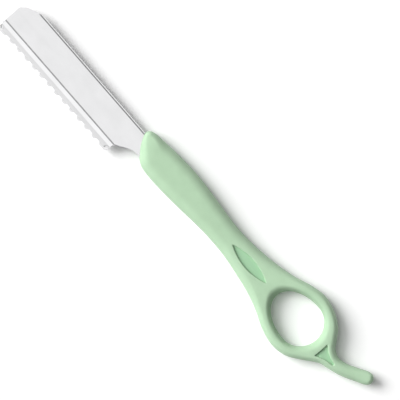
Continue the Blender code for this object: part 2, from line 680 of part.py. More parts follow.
def make_handle(parent, skin_material, core_material):
    """The soft skin and the hard core, with the space that the head's tail and tang sit in."""
    core_form = handle_form(SKIN_THICKNESS + SEAT_GAP, CORE_STEPS)
    skin = make_piece("soft_grip", handle_form(0, SKIN_STEPS), skin_material, parent, MOULDED_SHARP_ANGLE)
    core = make_piece("handle_core", core_form, core_material, parent, MOULDED_SHARP_ANGLE)
    cavity = make_cutter("skin_cavity_cutter", handle_form(SKIN_THICKNESS, CORE_STEPS), parent)
    window_form = flat_prisms([leaf_outline(), wedge_outline()], GRIP_THICKNESS / 2 + OVERRUN)
    windows = make_cutter("recess_cutter", window_form, parent)
    room_top = SPINE_RISE + SEAT_GAP
    room_bottom = SHELL_TAIL_BOTTOM_Y - SEAT_GAP
    room = [Vector((GUARD_LENGTH, room_bottom)), Vector((GUARD_LENGTH, room_top)),
            Vector((SHELL_TAIL_X + SEAT_GAP, room_top)), Vector((SHELL_TAIL_X + SEAT_GAP, room_bottom))]
    shell_room = make_cutter("shell_room_cutter", flat_prisms([room], CHEEK_OUTER_Z + SEAT_GAP), parent)
    tang_form = flat_prisms([tang_outline(SEAT_GAP)], TANG_THICKNESS / 2 + SEAT_GAP)
    tang_room = make_cutter("tang_room_cutter", tang_form, parent)
    heads = bmesh.new()
    head_reach = CHEEK_OUTER_Z + RIVET_HEAD_HEIGHT + 2 * SEAT_GAP
    for rivet_x in RIVET_XS:
        round_bar(RIVET_HEAD_RADIUS + SEAT_GAP, head_reach, (rivet_x, TANG_MIDDLE_Y), heads)
    head_room = make_cutter("rivet_room_cutter", heads, parent)
    pegs = bmesh.new()
    for hole_x in LOCK_HOLE_XS:
        round_bar(LOCK_HOLE_RADIUS - SEAT_GAP, TANG_THICKNESS / 2 + 2 * SEAT_GAP, (hole_x, TANG_MIDDLE_Y), pegs)
    for cutter in (cavity, windows, shell_room):
        combine(skin, cutter, "DIFFERENCE")
    for cutter in (shell_room, tang_room, head_room):
        combine(core, cutter, "DIFFERENCE")
    combine(core, make_cutter("lock_peg_guide", pegs, parent), "UNION")


# The whole tool

def build():
    """Clear the scene and build every piece in its place."""
    for old in list(bpy.data.objects):
        bpy.data.objects.remove(old, do_unlink=True)
    tool = make_frame("tool_frame", (-TOOL_LENGTH / 2, 0, GRIP_THICKNESS / 2))
    guard_slide = make_frame("guard_slide", (0, 0, 0), tool)
    blade_slide = make_frame("blade_slide", (0, 0, 0), tool)
    steel = make_material("polished_steel", STEEL_COLOUR, 0.15, 1.0)
    guard_steel = make_material("guard_steel", GUARD_COLOUR, 0.2, 1.0)
    blade_steel = make_material("blade_steel", BLADE_COLOUR, 0.25, 1.0)
    tang_steel = make_material("tang_steel", TANG_COLOUR, 0.4, 1.0)
    skin = make_material("soft_touch_skin", SKIN_COLOUR, 0.6, 0.0)
    hard_plastic = make_material("hard_core", CORE_COLOUR, 0.45, 0.0)
    shell = make_shell(tool, steel)
    tang = make_tang(tool, tang_steel)
    make_rivets(tool, tang_steel, (shell, tang))
    make_handle(tool, skin, hard_plastic)
    make_guard(guard_slide, guard_steel)
    make_blade(blade_slide, blade_steel)


build()
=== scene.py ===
# %% [markdown]
# # A hair thinning razor
#
# This notebook dresses the working model of a hair thinning razor. The working model already has every
# piece at its real size, and the joints that let the comb guard and the blade slide off towards the tip.
# Here each visible piece gets its fine surface and its finish.
#
# The tool lies on its side. X runs from the tip of the head to the tail, Y from the teeth to the spine,
# and Z up across the thickness of the tool.

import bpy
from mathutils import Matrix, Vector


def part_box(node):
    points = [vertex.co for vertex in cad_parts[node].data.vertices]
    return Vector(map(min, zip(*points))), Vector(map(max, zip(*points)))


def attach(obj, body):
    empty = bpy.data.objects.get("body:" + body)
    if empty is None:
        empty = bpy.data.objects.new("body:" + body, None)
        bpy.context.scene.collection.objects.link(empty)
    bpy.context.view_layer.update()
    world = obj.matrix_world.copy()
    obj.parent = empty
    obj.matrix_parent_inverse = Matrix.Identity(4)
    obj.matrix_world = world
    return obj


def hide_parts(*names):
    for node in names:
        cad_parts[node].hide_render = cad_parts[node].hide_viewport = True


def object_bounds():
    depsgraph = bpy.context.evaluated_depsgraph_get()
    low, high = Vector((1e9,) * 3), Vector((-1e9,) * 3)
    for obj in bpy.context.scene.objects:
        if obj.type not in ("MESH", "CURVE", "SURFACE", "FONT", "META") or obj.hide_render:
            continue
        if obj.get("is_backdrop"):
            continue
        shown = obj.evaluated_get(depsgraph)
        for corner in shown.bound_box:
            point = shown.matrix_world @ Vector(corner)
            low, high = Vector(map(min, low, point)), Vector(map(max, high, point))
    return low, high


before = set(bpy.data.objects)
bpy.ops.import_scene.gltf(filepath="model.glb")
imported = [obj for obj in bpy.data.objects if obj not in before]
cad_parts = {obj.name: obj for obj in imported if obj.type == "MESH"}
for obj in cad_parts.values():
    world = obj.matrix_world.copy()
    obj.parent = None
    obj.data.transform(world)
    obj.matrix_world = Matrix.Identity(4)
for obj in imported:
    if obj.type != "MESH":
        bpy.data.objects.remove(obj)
print("pieces of the working model:", ", ".join(sorted(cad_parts)))

# %% [markdown]
# ## Sizes
#
# Sizes that the working model can tell are read from it, so the dressed pieces always fit it. They could
# all be typed again, but then two numbers would have to agree for ever. Only what a bounding box can't
# tell, such as a radius or the thickness of a sheet, is written here.
#
# Every shape below is drawn in the tool's own frame: X = 0 at the tip, Y = 0 through the middle of the
# finger ring and Z = 0 in the plane of the blade. One function moves a point from there into the model.

# %% Read sizes from the model
import math

import bmesh
import bpy
from mathutils import Vector
from mathutils.geometry import delaunay_2d_cdt, interpolate_bezier

mm = 0.001
TINY = 1e-9
box_low, box_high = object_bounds()
CAD_BOX = [list(box_low), list(box_high)]
TOOL_ORIGIN = Vector((box_low.x, 0, (box_low.z + box_high.z) / 2))
TOOL_LENGTH = box_high.x - box_low.x
RING_WIDTH = box_high.y - box_low.y
GRIP_THICKNESS = box_high.z - box_low.z

shell_low, shell_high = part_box("head_shell")
guard_low, guard_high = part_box("comb_guard")
SPINE_Y = shell_high.y
RAIL_BOTTOM_Y = shell_low.y
SHELL_TAIL_X = shell_high.x - TOOL_ORIGIN.x
GUARD_LENGTH = guard_high.x - guard_low.x
GUARD_TOP_Y = guard_high.y
TEETH_BOTTOM_Y = guard_low.y
GUARD_HALF_DEPTH = (guard_high.z - guard_low.z) / 2


def in_model(x, y, z):
    """Move a point of the tool's own frame into the model."""
    return TOOL_ORIGIN + Vector((x, y, z))


print("tool %.1f mm long, guard %.1f mm long" % (TOOL_LENGTH / mm, GUARD_LENGTH / mm))

# %% [markdown]
# ## Curves in the plane
#
# Most outlines here are either straight runs with round corners or one smooth curve through a few knots.
# A few small functions make them. A curve object could do the same, but the handle is built from rings
# that are moved inwards step by step, and for that it helps to have the points and their normals at hand.

# %% Curve helpers
def evenly(start, end, steps):
    """Values from start to end in even steps, both included."""
    return [start + (end - start) * step / steps for step in range(steps + 1)]


def smooth(part):
    """Ease from 0 to 1, and stay there beyond."""
    part = min(max(part, 0), 1)
    return part * part * (3 - 2 * part)


def arc(centre, radii, start, end, steps):
    """Points on an arc or part of an ellipse, angles in degrees."""
    angles = [math.radians(angle) for angle in evenly(start, end, steps)]
    return [Vector((centre[0] + radii[0] * math.cos(a), centre[1] + radii[1] * math.sin(a))) for a in angles]


def bezier(start, start_handle, end_handle, end, steps):
    """Points on one cubic curve in the plane."""
    return interpolate_bezier(Vector(start), Vector(start_handle), Vector(end_handle), Vector(end), steps + 1)


def closed_curve(knots, steps):
    """A smooth closed curve through its knots, evenly divided between each two of them."""
    points = []
    count = len(knots)
    for index in range(count):
        before, start, end, after = (knots[(index + shift) % count] for shift in (-1, 0, 1, 2))
        span = math.sqrt((end - start).length)
        span_before = math.sqrt((start - before).length)
        span_after = math.sqrt((after - end).length)
        leave = (start - before) / span_before - (end - before) / (span_before + span) + (end - start) / span
        arrive = (end - start) / span - (after - start) / (span + span_after) + (after - end) / span_after
        handle = span / 3
        points += bezier(start, start + leave * handle, end - arrive * handle, end, steps)[:-1]
    return points


def normals_left(points):
    """Unit normals on the left of a closed curve."""
    count = len(points)
    chords = [(points[(index + 1) % count] - points[index - 1]).normalized() for index in range(count)]
    return [Vector((-chord.y, chord.x)) for chord in chords]


def blend(stations, place):
    """Ease from one station's value to the next; each station is a place and a value."""
    for (start, value), (end, next_value) in zip(stations, stations[1:]):
        if place <= end:
            return value + (next_value - value) * smooth((place - start) / (end - start))
    return stations[-1][1]


def x_on(line, y):
    """Where a line that runs steadily up or down crosses a height; its end beyond its reach."""
    ordered = sorted(line, key=lambda point: point.y)
    for low, high in zip(ordered, ordered[1:]):
        if y <= high.y:
            part = min(max((y - low.y) / max(high.y - low.y, TINY), 0), 1)
            return low.x + (high.x - low.x) * part
    return ordered[-1].x


print("curve helpers ready")

# %% [markdown]
# ## Colours and nodes
#
# A hex colour from a picture is in sRGB, the values that a screen shows. Shaders count light itself, so
# each colour is turned into linear light by one function. A second function adds a node together with its
# settings and its links, which keeps each material short enough to read in one go.

# %% Colour and node helpers
def colour(code):
    """Turn an sRGB hex colour into linear light."""
    channels = [int(code[place:place + 2], 16) / 255 for place in (0, 2, 4)]
    return [c / 12.92 if c <= 0.04045 else ((c + 0.055) / 1.055) ** 2.4 for c in channels] + [1.0]


def add_node(tree, kind, inputs=None, **settings):
    """Add a node, and give each of its inputs a value or a link."""
    node = tree.nodes.new(kind)
    for name, value in settings.items():
        setattr(node, name, value)
    for name, value in (inputs or {}).items():
        if isinstance(value, bpy.types.NodeSocket):
            tree.links.new(value, node.inputs[name])
        else:
            node.inputs[name].default_value = value
    return node


def new_material(name):
    """An empty material with its Principled shader."""
    material = bpy.data.materials.new(name)
    material.use_nodes = True
    return material, material.node_tree, material.node_tree.nodes["Principled BSDF"]


def stretched_noise(tree, size, detail):
    """Noise whose grains have the given real size along X, Y and Z."""
    place = add_node(tree, "ShaderNodeTexCoord")
    scale = tuple(1 / length for length in size)
    spread = add_node(tree, "ShaderNodeMapping", {"Vector": place.outputs["Object"], "Scale": scale})
    return add_node(tree, "ShaderNodeTexNoise", {"Vector": spread.outputs["Vector"], "Scale": 1.0,
                                                 "Detail": detail})


NOISE_LOW = 0.3
NOISE_HIGH = 0.7


def spread_over(tree, noise, low, high):
    """Turn noise, which stays near its middle, into a value between low and high."""
    ranged = add_node(tree, "ShaderNodeMapRange", {"Value": noise.outputs["Fac"], "From Min": NOISE_LOW,
                                                   "From Max": NOISE_HIGH, "To Min": low, "To Max": high})
    return ranged.outputs["Result"]


def mix_colours(tree, noise, first, second):
    """Wander between two colours."""
    mix = add_node(tree, "ShaderNodeMix", {0: spread_over(tree, noise, 0, 1)}, data_type="RGBA")
    mix.inputs["A"].default_value = colour(first)
    mix.inputs["B"].default_value = colour(second)
    return next(socket for socket in mix.outputs if socket.type == "RGBA")


print("mint", [round(channel, 3) for channel in colour("b7d5b5")[:3]], "in linear light")

# %% [markdown]
# ## Finish of the sheet steel
#
# The head and its guard are stainless steel sheet, polished on a felt wheel. Such a surface mirrors the
# room, but a little blurred, and it holds hair-fine polishing lines that run along the tool. A perfect
# mirror would look like glass, and an even grey like paint.
#
# So the roughness wanders with noise that is stretched along the tool, and a very shallow bump of the
# same noise breaks up the reflections. Real polishing lines are a few thousandths of a millimetre apart,
# too fine to show here, so they are drawn 0.12 mm apart. A wide, faint noise stands for the touch of
# hands. The plastics further on are built up in the same way, so one function lays both noises.

# %% Steel materials
TOUCH_OF_HANDS = ((9 * mm, 6 * mm, 6 * mm), 2.0)
LINE_ROUGHNESS = (0.8, 1.25)
FINE_DETAIL = 3.0


def surface_finish(name, colours, patches, roughness, reach, grain, depth, sockets):
    """Colours wander in wide patches of noise; the roughness and a shallow bump follow a finer grain."""
    material, tree, shader = new_material(name)
    fine = stretched_noise(tree, grain, FINE_DETAIL)
    wide = stretched_noise(tree, *patches)
    rough = spread_over(tree, fine, roughness * reach[0], roughness * reach[1])
    bump = add_node(tree, "ShaderNodeBump", {"Height": fine.outputs["Fac"], "Distance": depth})
    tree.links.new(mix_colours(tree, wide, *colours), shader.inputs["Base Color"])
    tree.links.new(rough, shader.inputs["Roughness"])
    tree.links.new(bump.outputs["Normal"], shader.inputs["Normal"])
    for socket_name, value in sockets.items():
        shader.inputs[socket_name].default_value = value
    return material


def steel(name, colours, roughness, line_length, line_gap, line_depth):
    """Stainless steel with fine lines; the size of the lines says how it was polished or ground."""
    grain = (line_length, line_gap, line_gap)
    return surface_finish(name, colours, TOUCH_OF_HANDS, roughness, LINE_ROUGHNESS, grain, line_depth,
                          {"Metallic": 1.0})


POLISHED_STEEL = steel("polished_stainless_sheet", ("e4e4e5", "dfdfe0"), 0.16, 14 * mm, 0.12 * mm,
                       0.0006 * mm)
GUARD_STEEL = steel("polished_guard_strip", ("f0f0f1", "ebebec"), 0.15, 6 * mm, 0.12 * mm, 0.0006 * mm)
BLADE_STEEL = steel("ground_blade_steel", ("cfd0d2", "c4c5c8"), 0.24, 0.15 * mm, 4 * mm, 0.001 * mm)
BAR_STEEL = steel("blanked_stainless_bar", ("b4b4b5", "a6a6a8"), 0.38, 0.5 * mm, 0.5 * mm, 0.004 * mm)
print("steel finishes:", POLISHED_STEEL.name, GUARD_STEEL.name, BLADE_STEEL.name, BAR_STEEL.name)

# %% [markdown]
# ## Finish of the two plastics
#
# The skin is thermoplastic elastomer, a rubber that is moulded over a hard core. Its mould is etched,
# which leaves a matt, slightly mottled surface, dry to the touch. It scatters light almost evenly, with a
# faint sheen where it turns away from the eye. The core is polypropylene from a smoother mould, so it is
# shinier. Its colour is the skin's mint, a little more saturated, and darkened by painted shade, because
# it shows only as the floor of the recesses.
#
# The grain of an etched mould is about 0.05 mm, too fine to show, so it is drawn 0.35 mm wide.

# %% Plastic materials
MOTTLE = ((5 * mm, 5 * mm, 5 * mm), 4.0)
GRAIN_ROUGHNESS = (0.9, 1.1)
PLASTIC_IOR = 1.5
SOFT_TOUCH = {"Specular IOR Level": 0.25, "Sheen Weight": 0.05, "Sheen Roughness": 0.5}


def moulded(name, colours, roughness, grain, depth, feel):
    """Moulded plastic with the fine grain of its mould and a faint mottle."""
    return surface_finish(name, colours, MOTTLE, roughness, GRAIN_ROUGHNESS, (grain, grain, grain), depth,
                          {"IOR": PLASTIC_IOR, **feel})


SOFT_SKIN = moulded("etched_soft_touch_elastomer", ("b7d5b5", "b2d0b0"), 0.62, 0.35 * mm, 0.004 * mm,
                    SOFT_TOUCH)
# The core's colours are darker than the skin's: painted shade of the recess floors, over its more saturated
# mint.
HARD_CORE = moulded("moulded_polypropylene", ("a3cba6", "9dc7a1"), 0.42, 0.5 * mm, 0.003 * mm, {})
print("plastic finishes:", SOFT_SKIN.name, HARD_CORE.name)

# %% [markdown]
# ## From points to pieces
#
# Each piece is first a bmesh, then an object with modifiers, and at the end one plain mesh. These helpers
# do the steps that every piece shares. A finished piece sits at the origin with its place in its mesh, so
# that patterns measured from the object's origin stay where they are.

# %% Piece helpers
SHARP_EDGE = math.radians(50)


def new_object(name, form, material=None):
    """Make a bmesh into an object, with its faces pointing out and shaded smooth."""
    bmesh.ops.recalc_face_normals(form, faces=form.faces)
    mesh = bpy.data.meshes.new(name)
    form.to_mesh(mesh)
    form.free()
    mesh.shade_smooth()
    if material:
        mesh.materials.append(material)
    thing = bpy.data.objects.new(name, mesh)
    bpy.context.scene.collection.objects.link(thing)
    return thing


def add_modifier(piece, kind, **settings):
    """Add a modifier with its settings."""
    modifier = piece.modifiers.new(kind.lower(), kind)
    for name, value in settings.items():
        setattr(modifier, name, value)
    return modifier


def settle(piece, *helpers):
    """Turn a piece and its modifiers into one plain mesh, and remove the objects that only helped."""
    bpy.context.view_layer.update()
    graph = bpy.context.evaluated_depsgraph_get()
    mesh = bpy.data.meshes.new_from_object(piece.evaluated_get(graph))
    piece.modifiers.clear()
    piece.data = mesh
    for helper in helpers:
        bpy.data.objects.remove(helper, do_unlink=True)
    print(piece.name, "has", len(mesh.polygons), "faces")
    return piece


def bridge(form, rings):
    """Close the space between closed rings with quads; gives the first and the last ring."""
    for ring, next_ring in zip(rings, rings[1:]):
        for index in range(len(ring)):
            form.faces.new((ring[index - 1], ring[index], next_ring[index], next_ring[index - 1]))
    return rings[0], rings[-1]


def weave(form, row, next_row):
    """Join two rows of a grid with quads, as far as both reach."""
    for column in range(min(len(row), len(next_row)) - 1):
        form.faces.new((row[column], row[column + 1], next_row[column + 1], next_row[column]))


def prism(form, outline, low, high):
    """Add a closed prism of a flat outline, standing between two heights."""
    ends = [[form.verts.new(in_model(point.x, point.y, z)) for point in outline] for z in (low, high)]
    form.faces.new(ends[0])
    form.faces.new(ends[1][::-1])
    bridge(form, ends)


def thicken(piece, sheet, edge_break, segments):
    """Give a middle surface the thickness of its sheet, and break its edges."""
    add_modifier(piece, "SOLIDIFY", thickness=sheet, offset=0, use_even_offset=True)
    add_modifier(piece, "BEVEL", width=edge_break, segments=segments, limit_method="ANGLE",
                 angle_limit=SHARP_EDGE, harden_normals=True)


print("piece helpers ready")

# %% [markdown]
# ## Section of the folded head
#
# The head is one sheet, 0.5 mm thick, folded over at the spine. From the spine each side runs down as a
# flat cheek, steps inwards at the joggle to grip the blade, and flares out again as the rail of the
# guard.
#
# A solid block with cuts could show the same outline. A folded sheet is better made the way it is in the
# shop: the middle surface of the sheet is laid out as a grid, row by row along the section, and a
# Solidify modifier gives it its thickness, so every bend has the right inner and outer radius. The cheeks
# bulge by a few hundredths of a millimetre, as pressed sheet does, and that makes the reflection fade
# from one edge to the other.

# %% Draw the section
SHEET = 0.5 * mm
SPINE_BEND = 1.05 * mm
CHEEK_HALF_DEPTH = 1.2 * mm
JAW_HALF_DEPTH = 0.675 * mm
CHEEK_BOTTOM_Y = SPINE_Y - 13.05 * mm
JOGGLE = 0.5 * mm
RAIL_FLARE = 0.9 * mm
CHEEK_BULGE = 0.06 * mm
TAIL_BOTTOM_Y = SPINE_Y - 8.44 * mm
BEND_CENTRE_Y = SPINE_Y - SHEET / 2 - SPINE_BEND
BEND_ROWS = 14
CHEEK_ROWS = ((TAIL_BOTTOM_Y, 14), (CHEEK_BOTTOM_Y, 12))
STEP_ROWS = 6


def bulge(y):
    """How far the cheek stands out of its plane."""
    across = (y - CHEEK_BOTTOM_Y) / (BEND_CENTRE_Y - CHEEK_BOTTOM_Y)
    return CHEEK_BULGE * 4 * across * (1 - across)


def eased(start, end, steps):
    """Rows from one point to another along a gentle S, without the first."""
    rows = []
    for part in evenly(0, 1, steps)[1:]:
        y = start[0] + (end[0] - start[0]) * part
        rows.append(Vector((y, start[1] + (end[1] - start[1]) * smooth(part))))
    return rows


def half_section():
    """Rows from the middle of the spine to the end of the rail: height, half depth, height of the outside."""
    centre = (BEND_CENTRE_Y, CHEEK_HALF_DEPTH - SPINE_BEND)
    middle, outside = (arc(centre, (radius, radius), 0, 90, BEND_ROWS)
                       for radius in (SPINE_BEND, SPINE_BEND + SHEET / 2))
    rows = [(point.x, point.y, skin.x) for point, skin in zip(middle, outside)]
    for end, steps in CHEEK_ROWS:
        rows += [(y, CHEEK_HALF_DEPTH + bulge(y), y) for y in evenly(rows[-1][0], end, steps)[1:]]
    flare_y = RAIL_BOTTOM_Y + RAIL_FLARE
    rail = eased((CHEEK_BOTTOM_Y, CHEEK_HALF_DEPTH), (CHEEK_BOTTOM_Y - JOGGLE, JAW_HALF_DEPTH), STEP_ROWS)
    rail += [Vector((flare_y, JAW_HALF_DEPTH))]
    rail += eased((flare_y, JAW_HALF_DEPTH), (RAIL_BOTTOM_Y, CHEEK_HALF_DEPTH), STEP_ROWS)
    return rows + [(point.x, point.y, point.x) for point in rail]


print("section of the head has", len(half_section()), "rows on each side")

# %% [markdown]
# ## Side view of the head
#
# Each row of the grid has its own start and end along the tool. At the tip a short chamfer and a long
# slope cut the upper corner. At the other end the sheet runs into the handle, and below that its edge
# swings down to the guard in the curved heel. The edges are then rounded, because sheet is tumbled after
# cutting. A sharp edge would vanish against the table, while a round one mirrors the dim part of the room
# and draws a fine outline.

# %% Build the head shell
TIP_DROP = 5.25 * mm
CHAMFER_RUN = 2.05 * mm
CHAMFER_RISE = 2.2 * mm
SLOPE_RUN = 8 * mm
SLOPE_BEND_SHARES = ((0.14, 0.25), (0.33, 0.43))
HEEL_RUN = 10.7 * mm
EDGE_BREAK = 0.2 * mm
COLUMNS = 48
TAIL_COLUMNS = 6
TIP_STEPS = 16
HEEL_STEPS = 24
RIVET_XS = (SHELL_TAIL_X - 13.5 * mm, SHELL_TAIL_X - 5 * mm)
RIVET_HOLE_RADIUS = 1.3 * mm
RIVET_HOLE_SIDES = 24
RIVET_Y = -0.9 * mm


def tip_line():
    """Upper corner of the head, from the foot of its chamfer up to the spine."""
    foot = Vector((0, SPINE_Y - TIP_DROP))
    start = foot + Vector((CHAMFER_RUN, CHAMFER_RISE))
    end = Vector((CHAMFER_RUN + SLOPE_RUN, SPINE_Y))
    handles = [start + (end - start) * Vector(shares) for shares in SLOPE_BEND_SHARES]
    return [foot] + bezier(start, *handles, end, TIP_STEPS)


def heel_line():
    """Lower edge of the head from the handle down to the guard."""
    end_x = GUARD_LENGTH + HEEL_RUN
    rise = TAIL_BOTTOM_Y - CHEEK_BOTTOM_Y
    return bezier((end_x, TAIL_BOTTOM_Y), (end_x - HEEL_RUN / 2, TAIL_BOTTOM_Y),
                  (GUARD_LENGTH + HEEL_RUN / 3, CHEEK_BOTTOM_Y + rise / 3),
                  (GUARD_LENGTH, CHEEK_BOTTOM_Y), HEEL_STEPS)


def shell_grid():
    """Middle surface of the folded sheet."""
    form = bmesh.new()
    tip, heel = tip_line(), heel_line()
    upper = half_section()
    section = [(y, -z, skin) for y, z, skin in upper[::-1]] + upper
    rows = []
    for y, z, skin in section:
        end = x_on(heel, y)
        xs = evenly(x_on(tip, skin), end, COLUMNS)
        if y > TAIL_BOTTOM_Y - EDGE_BREAK / 2:
            xs += evenly(end, SHELL_TAIL_X, TAIL_COLUMNS)[1:]
        rows.append([form.verts.new(in_model(x, y, z)) for x in xs])
    for row, next_row in zip(rows, rows[1:]):
        weave(form, row, next_row)
    return form


shell = new_object("head_shell_sheet", shell_grid(), POLISHED_STEEL)
thicken(shell, SHEET, EDGE_BREAK, segments=2)
rivet_form = bmesh.new()
for rivet_x in RIVET_XS:
    circle = arc((rivet_x, RIVET_Y), (RIVET_HOLE_RADIUS, RIVET_HOLE_RADIUS), 0, 360, RIVET_HOLE_SIDES)[:-1]
    prism(rivet_form, circle, -GRIP_THICKNESS, GRIP_THICKNESS)
rivet_holes = new_object("rivet_holes", rivet_form)
add_modifier(shell, "BOOLEAN", operation="DIFFERENCE", solver="EXACT", object=rivet_holes)
settle(shell, rivet_holes)

# %% [markdown]
# ## Section of the comb guard
#
# The guard is a strip, 0.4 mm thick, folded round the jaws. On each side it starts with a lip that hooks
# over the rail, turns down as a flange and slopes inwards as a strip. Below the strip it steps in and
# folds under the edge of the blade. The teeth are what is left of that fold between the punched gaps, so
# each tooth is a small bridge from one side to the other, and the step marks its root.

# %% Draw the guard's section
GUARD_SHEET = 0.4 * mm
GUARD_BEND = 0.22 * mm
LIP_HALF_DEPTH = 1.225 * mm
FLANGE_LEAN = 0.1 * mm
STRIP_TOP_Y = RAIL_BOTTOM_Y - 0.1 * mm
STRIP_BOTTOM_Y = STRIP_TOP_Y - 1.75 * mm
STRIP_LEAN = 0.98 * mm
LIP_ROWS = 8
FLANGE_ROWS = 4
STRIP_ROWS = 9
NOSE_ROWS = 9
ROOT_STEP = 0.36 * mm
TOOTH_HALF_DEPTH = 0.78 * mm
TOOTH_LEAN = 0.2 * mm
TOOTH_NOSE = 0.36 * mm
GUARD_EDGE_BREAK = 0.16 * mm


def guard_half():
    """Rows of one side, from the lip to the middle of the fold: height and half depth."""
    depth = GUARD_HALF_DEPTH - GUARD_SHEET / 2
    lip_y = GUARD_TOP_Y - GUARD_SHEET / 2
    rows = [Vector((lip_y, LIP_HALF_DEPTH))]
    rows += arc((lip_y - GUARD_BEND, depth - GUARD_BEND), (GUARD_BEND, GUARD_BEND), 0, 90, LIP_ROWS)
    rows += eased(rows[-1], (STRIP_TOP_Y, depth - FLANGE_LEAN), FLANGE_ROWS)
    strip_end = Vector((STRIP_BOTTOM_Y, depth - STRIP_LEAN))
    rows += evenly(rows[-1], strip_end, STRIP_ROWS)[1:]
    rows += eased(strip_end, (STRIP_BOTTOM_Y - ROOT_STEP, TOOTH_HALF_DEPTH), STEP_ROWS)
    nose_y = TEETH_BOTTOM_Y + GUARD_SHEET / 2 + TOOTH_NOSE
    nose_depth = TOOTH_HALF_DEPTH - TOOTH_LEAN
    rows += [rows[-1].lerp(Vector((nose_y, nose_depth)), part) for part in (1 / 3, 2 / 3)]
    return rows + arc((nose_y, 0), (TOOTH_NOSE, nose_depth), 90, 180, NOSE_ROWS)


print("section of the guard has", len(guard_half()), "rows on each side")

# %% [markdown]
# ## One tooth, and the two ends
#
# A tooth begins at the strip with small root fillets, runs down straight and ends in round corners. Its
# half width is a function of height alone, so the same rows that draw the fold also draw the tooth. The
# two ends of the guard have a wider tooth with one large round corner. There the sheet is pinched
# inwards, so that no corner can scratch. The pinch is shallow, and its flanks lean so that they mirror
# the dim part of the room: it shows as a small dent.

# %% Build the patterns that repeat
TOOTH_PITCH = 4.87 * mm
TOOTH_WIDTH = 2.4 * mm
TOOTH_CORNER = 0.9 * mm
ROOT_FILLET = 0.3 * mm
END_CORNER = 2.4 * mm
PINCH_START = Vector((0.95 * mm, STRIP_BOTTOM_Y + 0.7 * mm))
PINCH_END = Vector((1.75 * mm, STRIP_BOTTOM_Y + 0.15 * mm))
PINCH_WIDTH = 0.65 * mm
PINCH_SHARE = 0.32
INNER_TEETH = 12
TOOTH_COLUMNS = 10
GAP_COLUMNS = 3
ROW_TOLERANCE = 0.002 * mm


def tooth_half_width(y):
    """Half the width of a tooth at a height: root fillet, straight flank, round corner."""
    flank = TOOTH_WIDTH / 2
    root = STRIP_BOTTOM_Y - ROOT_FILLET
    bottom = TEETH_BOTTOM_Y + GUARD_SHEET / 2
    corner_height = TOOTH_CORNER - GUARD_SHEET / 2
    if y > root:
        sink = min((y - root) / ROOT_FILLET, 1)
        return flank + ROOT_FILLET * (1 - math.sqrt(1 - sink * sink))
    rise = min(max((bottom + corner_height - y) / corner_height, 0), 1)
    return flank - TOOTH_CORNER * (1 - math.sqrt(1 - rise * rise))


def unit_row(y, in_strip):
    """Places across one pitch of the guard, round X = 0."""
    half = tooth_half_width(y)
    xs = evenly(-half, half, TOOTH_COLUMNS)
    if not in_strip:
        return xs
    gap = evenly(half, TOOTH_PITCH / 2, GAP_COLUMNS)[1:]
    return [-x for x in gap[::-1]] + xs + gap


def end_row(y, in_strip):
    """Places across the end of the guard, from its edge at X = 0 to the middle of the first gap."""
    gap_middle = (GUARD_LENGTH - INNER_TEETH * TOOTH_PITCH) / 2
    tooth_end = gap_middle - (TOOTH_PITCH - TOOTH_WIDTH) / 2
    inner = tooth_end - TOOTH_WIDTH / 2 + tooth_half_width(y)
    drop = min(max(TEETH_BOTTOM_Y + END_CORNER - y, 0), END_CORNER)
    outer = END_CORNER - math.sqrt(END_CORNER ** 2 - drop ** 2)
    xs = evenly(outer, inner, 2 * TOOTH_COLUMNS)
    return xs + evenly(inner, gap_middle, GAP_COLUMNS)[1:] if in_strip else xs


def pinched(x, y):
    """Share of its half depth that a point of the guard's end keeps, next to the line of the pinch."""
    point, along = Vector((x, y)), PINCH_END - PINCH_START
    part = min(max((point - PINCH_START).dot(along) / along.length_squared, 0), 1)
    away = min((point - PINCH_START.lerp(PINCH_END, part)).length / PINCH_WIDTH, 1)
    return 1 - PINCH_SHARE * (1 - away * away) ** 2


def guard_pattern(name, row_of, depth_share, mirror=1):
    """One stretch of the guard's middle surface as a mesh object, its places across it from row_of."""
    form = bmesh.new()
    upper = guard_half()
    section = upper + [Vector((point.x, -point.y)) for point in upper[-2::-1]]
    strip_bottom = STRIP_BOTTOM_Y - ROW_TOLERANCE
    rows = []
    for y, z in section:
        xs = row_of(min(y, STRIP_BOTTOM_Y), y > strip_bottom)
        ring = [form.verts.new((mirror * x, y, TOOL_ORIGIN.z + z * depth_share(x, y))) for x in xs]
        rows.append((y > strip_bottom, ring))
    side = GAP_COLUMNS if row_of is unit_row else 0
    for (wide, row), (next_wide, next_row) in zip(rows, rows[1:]):
        if wide and not next_wide:
            row = row[side:]
        if next_wide and not wide:
            next_row = next_row[side:]
        weave(form, row, next_row)
    return new_object(name, form)


tooth_pattern = guard_pattern("tooth_pattern", unit_row, lambda x, y: 1)
tip_end_pattern = guard_pattern("tip_end_pattern", end_row, pinched)
heel_end_pattern = guard_pattern("heel_end_pattern", end_row, pinched, mirror=-1)
print("one tooth has", len(tooth_pattern.data.polygons), "faces on its middle surface")

# %% [markdown]
# ## The comb, by Geometry Nodes
#
# Twelve equal teeth at an even pitch are a pattern, and Geometry Nodes are Blender's tool for patterns.
# Copying the tooth in a Python loop would work as well, but in a node tree the number of teeth and their
# pitch stay as inputs that can be turned. The tree lays a line of points, puts one tooth pattern on each,
# joins the two ends and merges the seams. It ends in Realize Instances and Set Material, so that the comb
# is real faces.

# %% Build the comb's node tree
SEAM_GAP = 0.005 * mm
# Each row names a result, then its operation and the two values that it takes.
COMB_SUMS = (("half pitch", "MULTIPLY", "Pitch", 0.5), ("row", "MULTIPLY", "Pitch", "Teeth"),
             ("spare", "SUBTRACT", "Length", "row"), ("margin", "MULTIPLY", "spare", 0.5),
             ("inset", "ADD", "margin", "half pitch"), ("First", "ADD", "Start", "inset"),
             ("End", "ADD", "Start", "Length"))


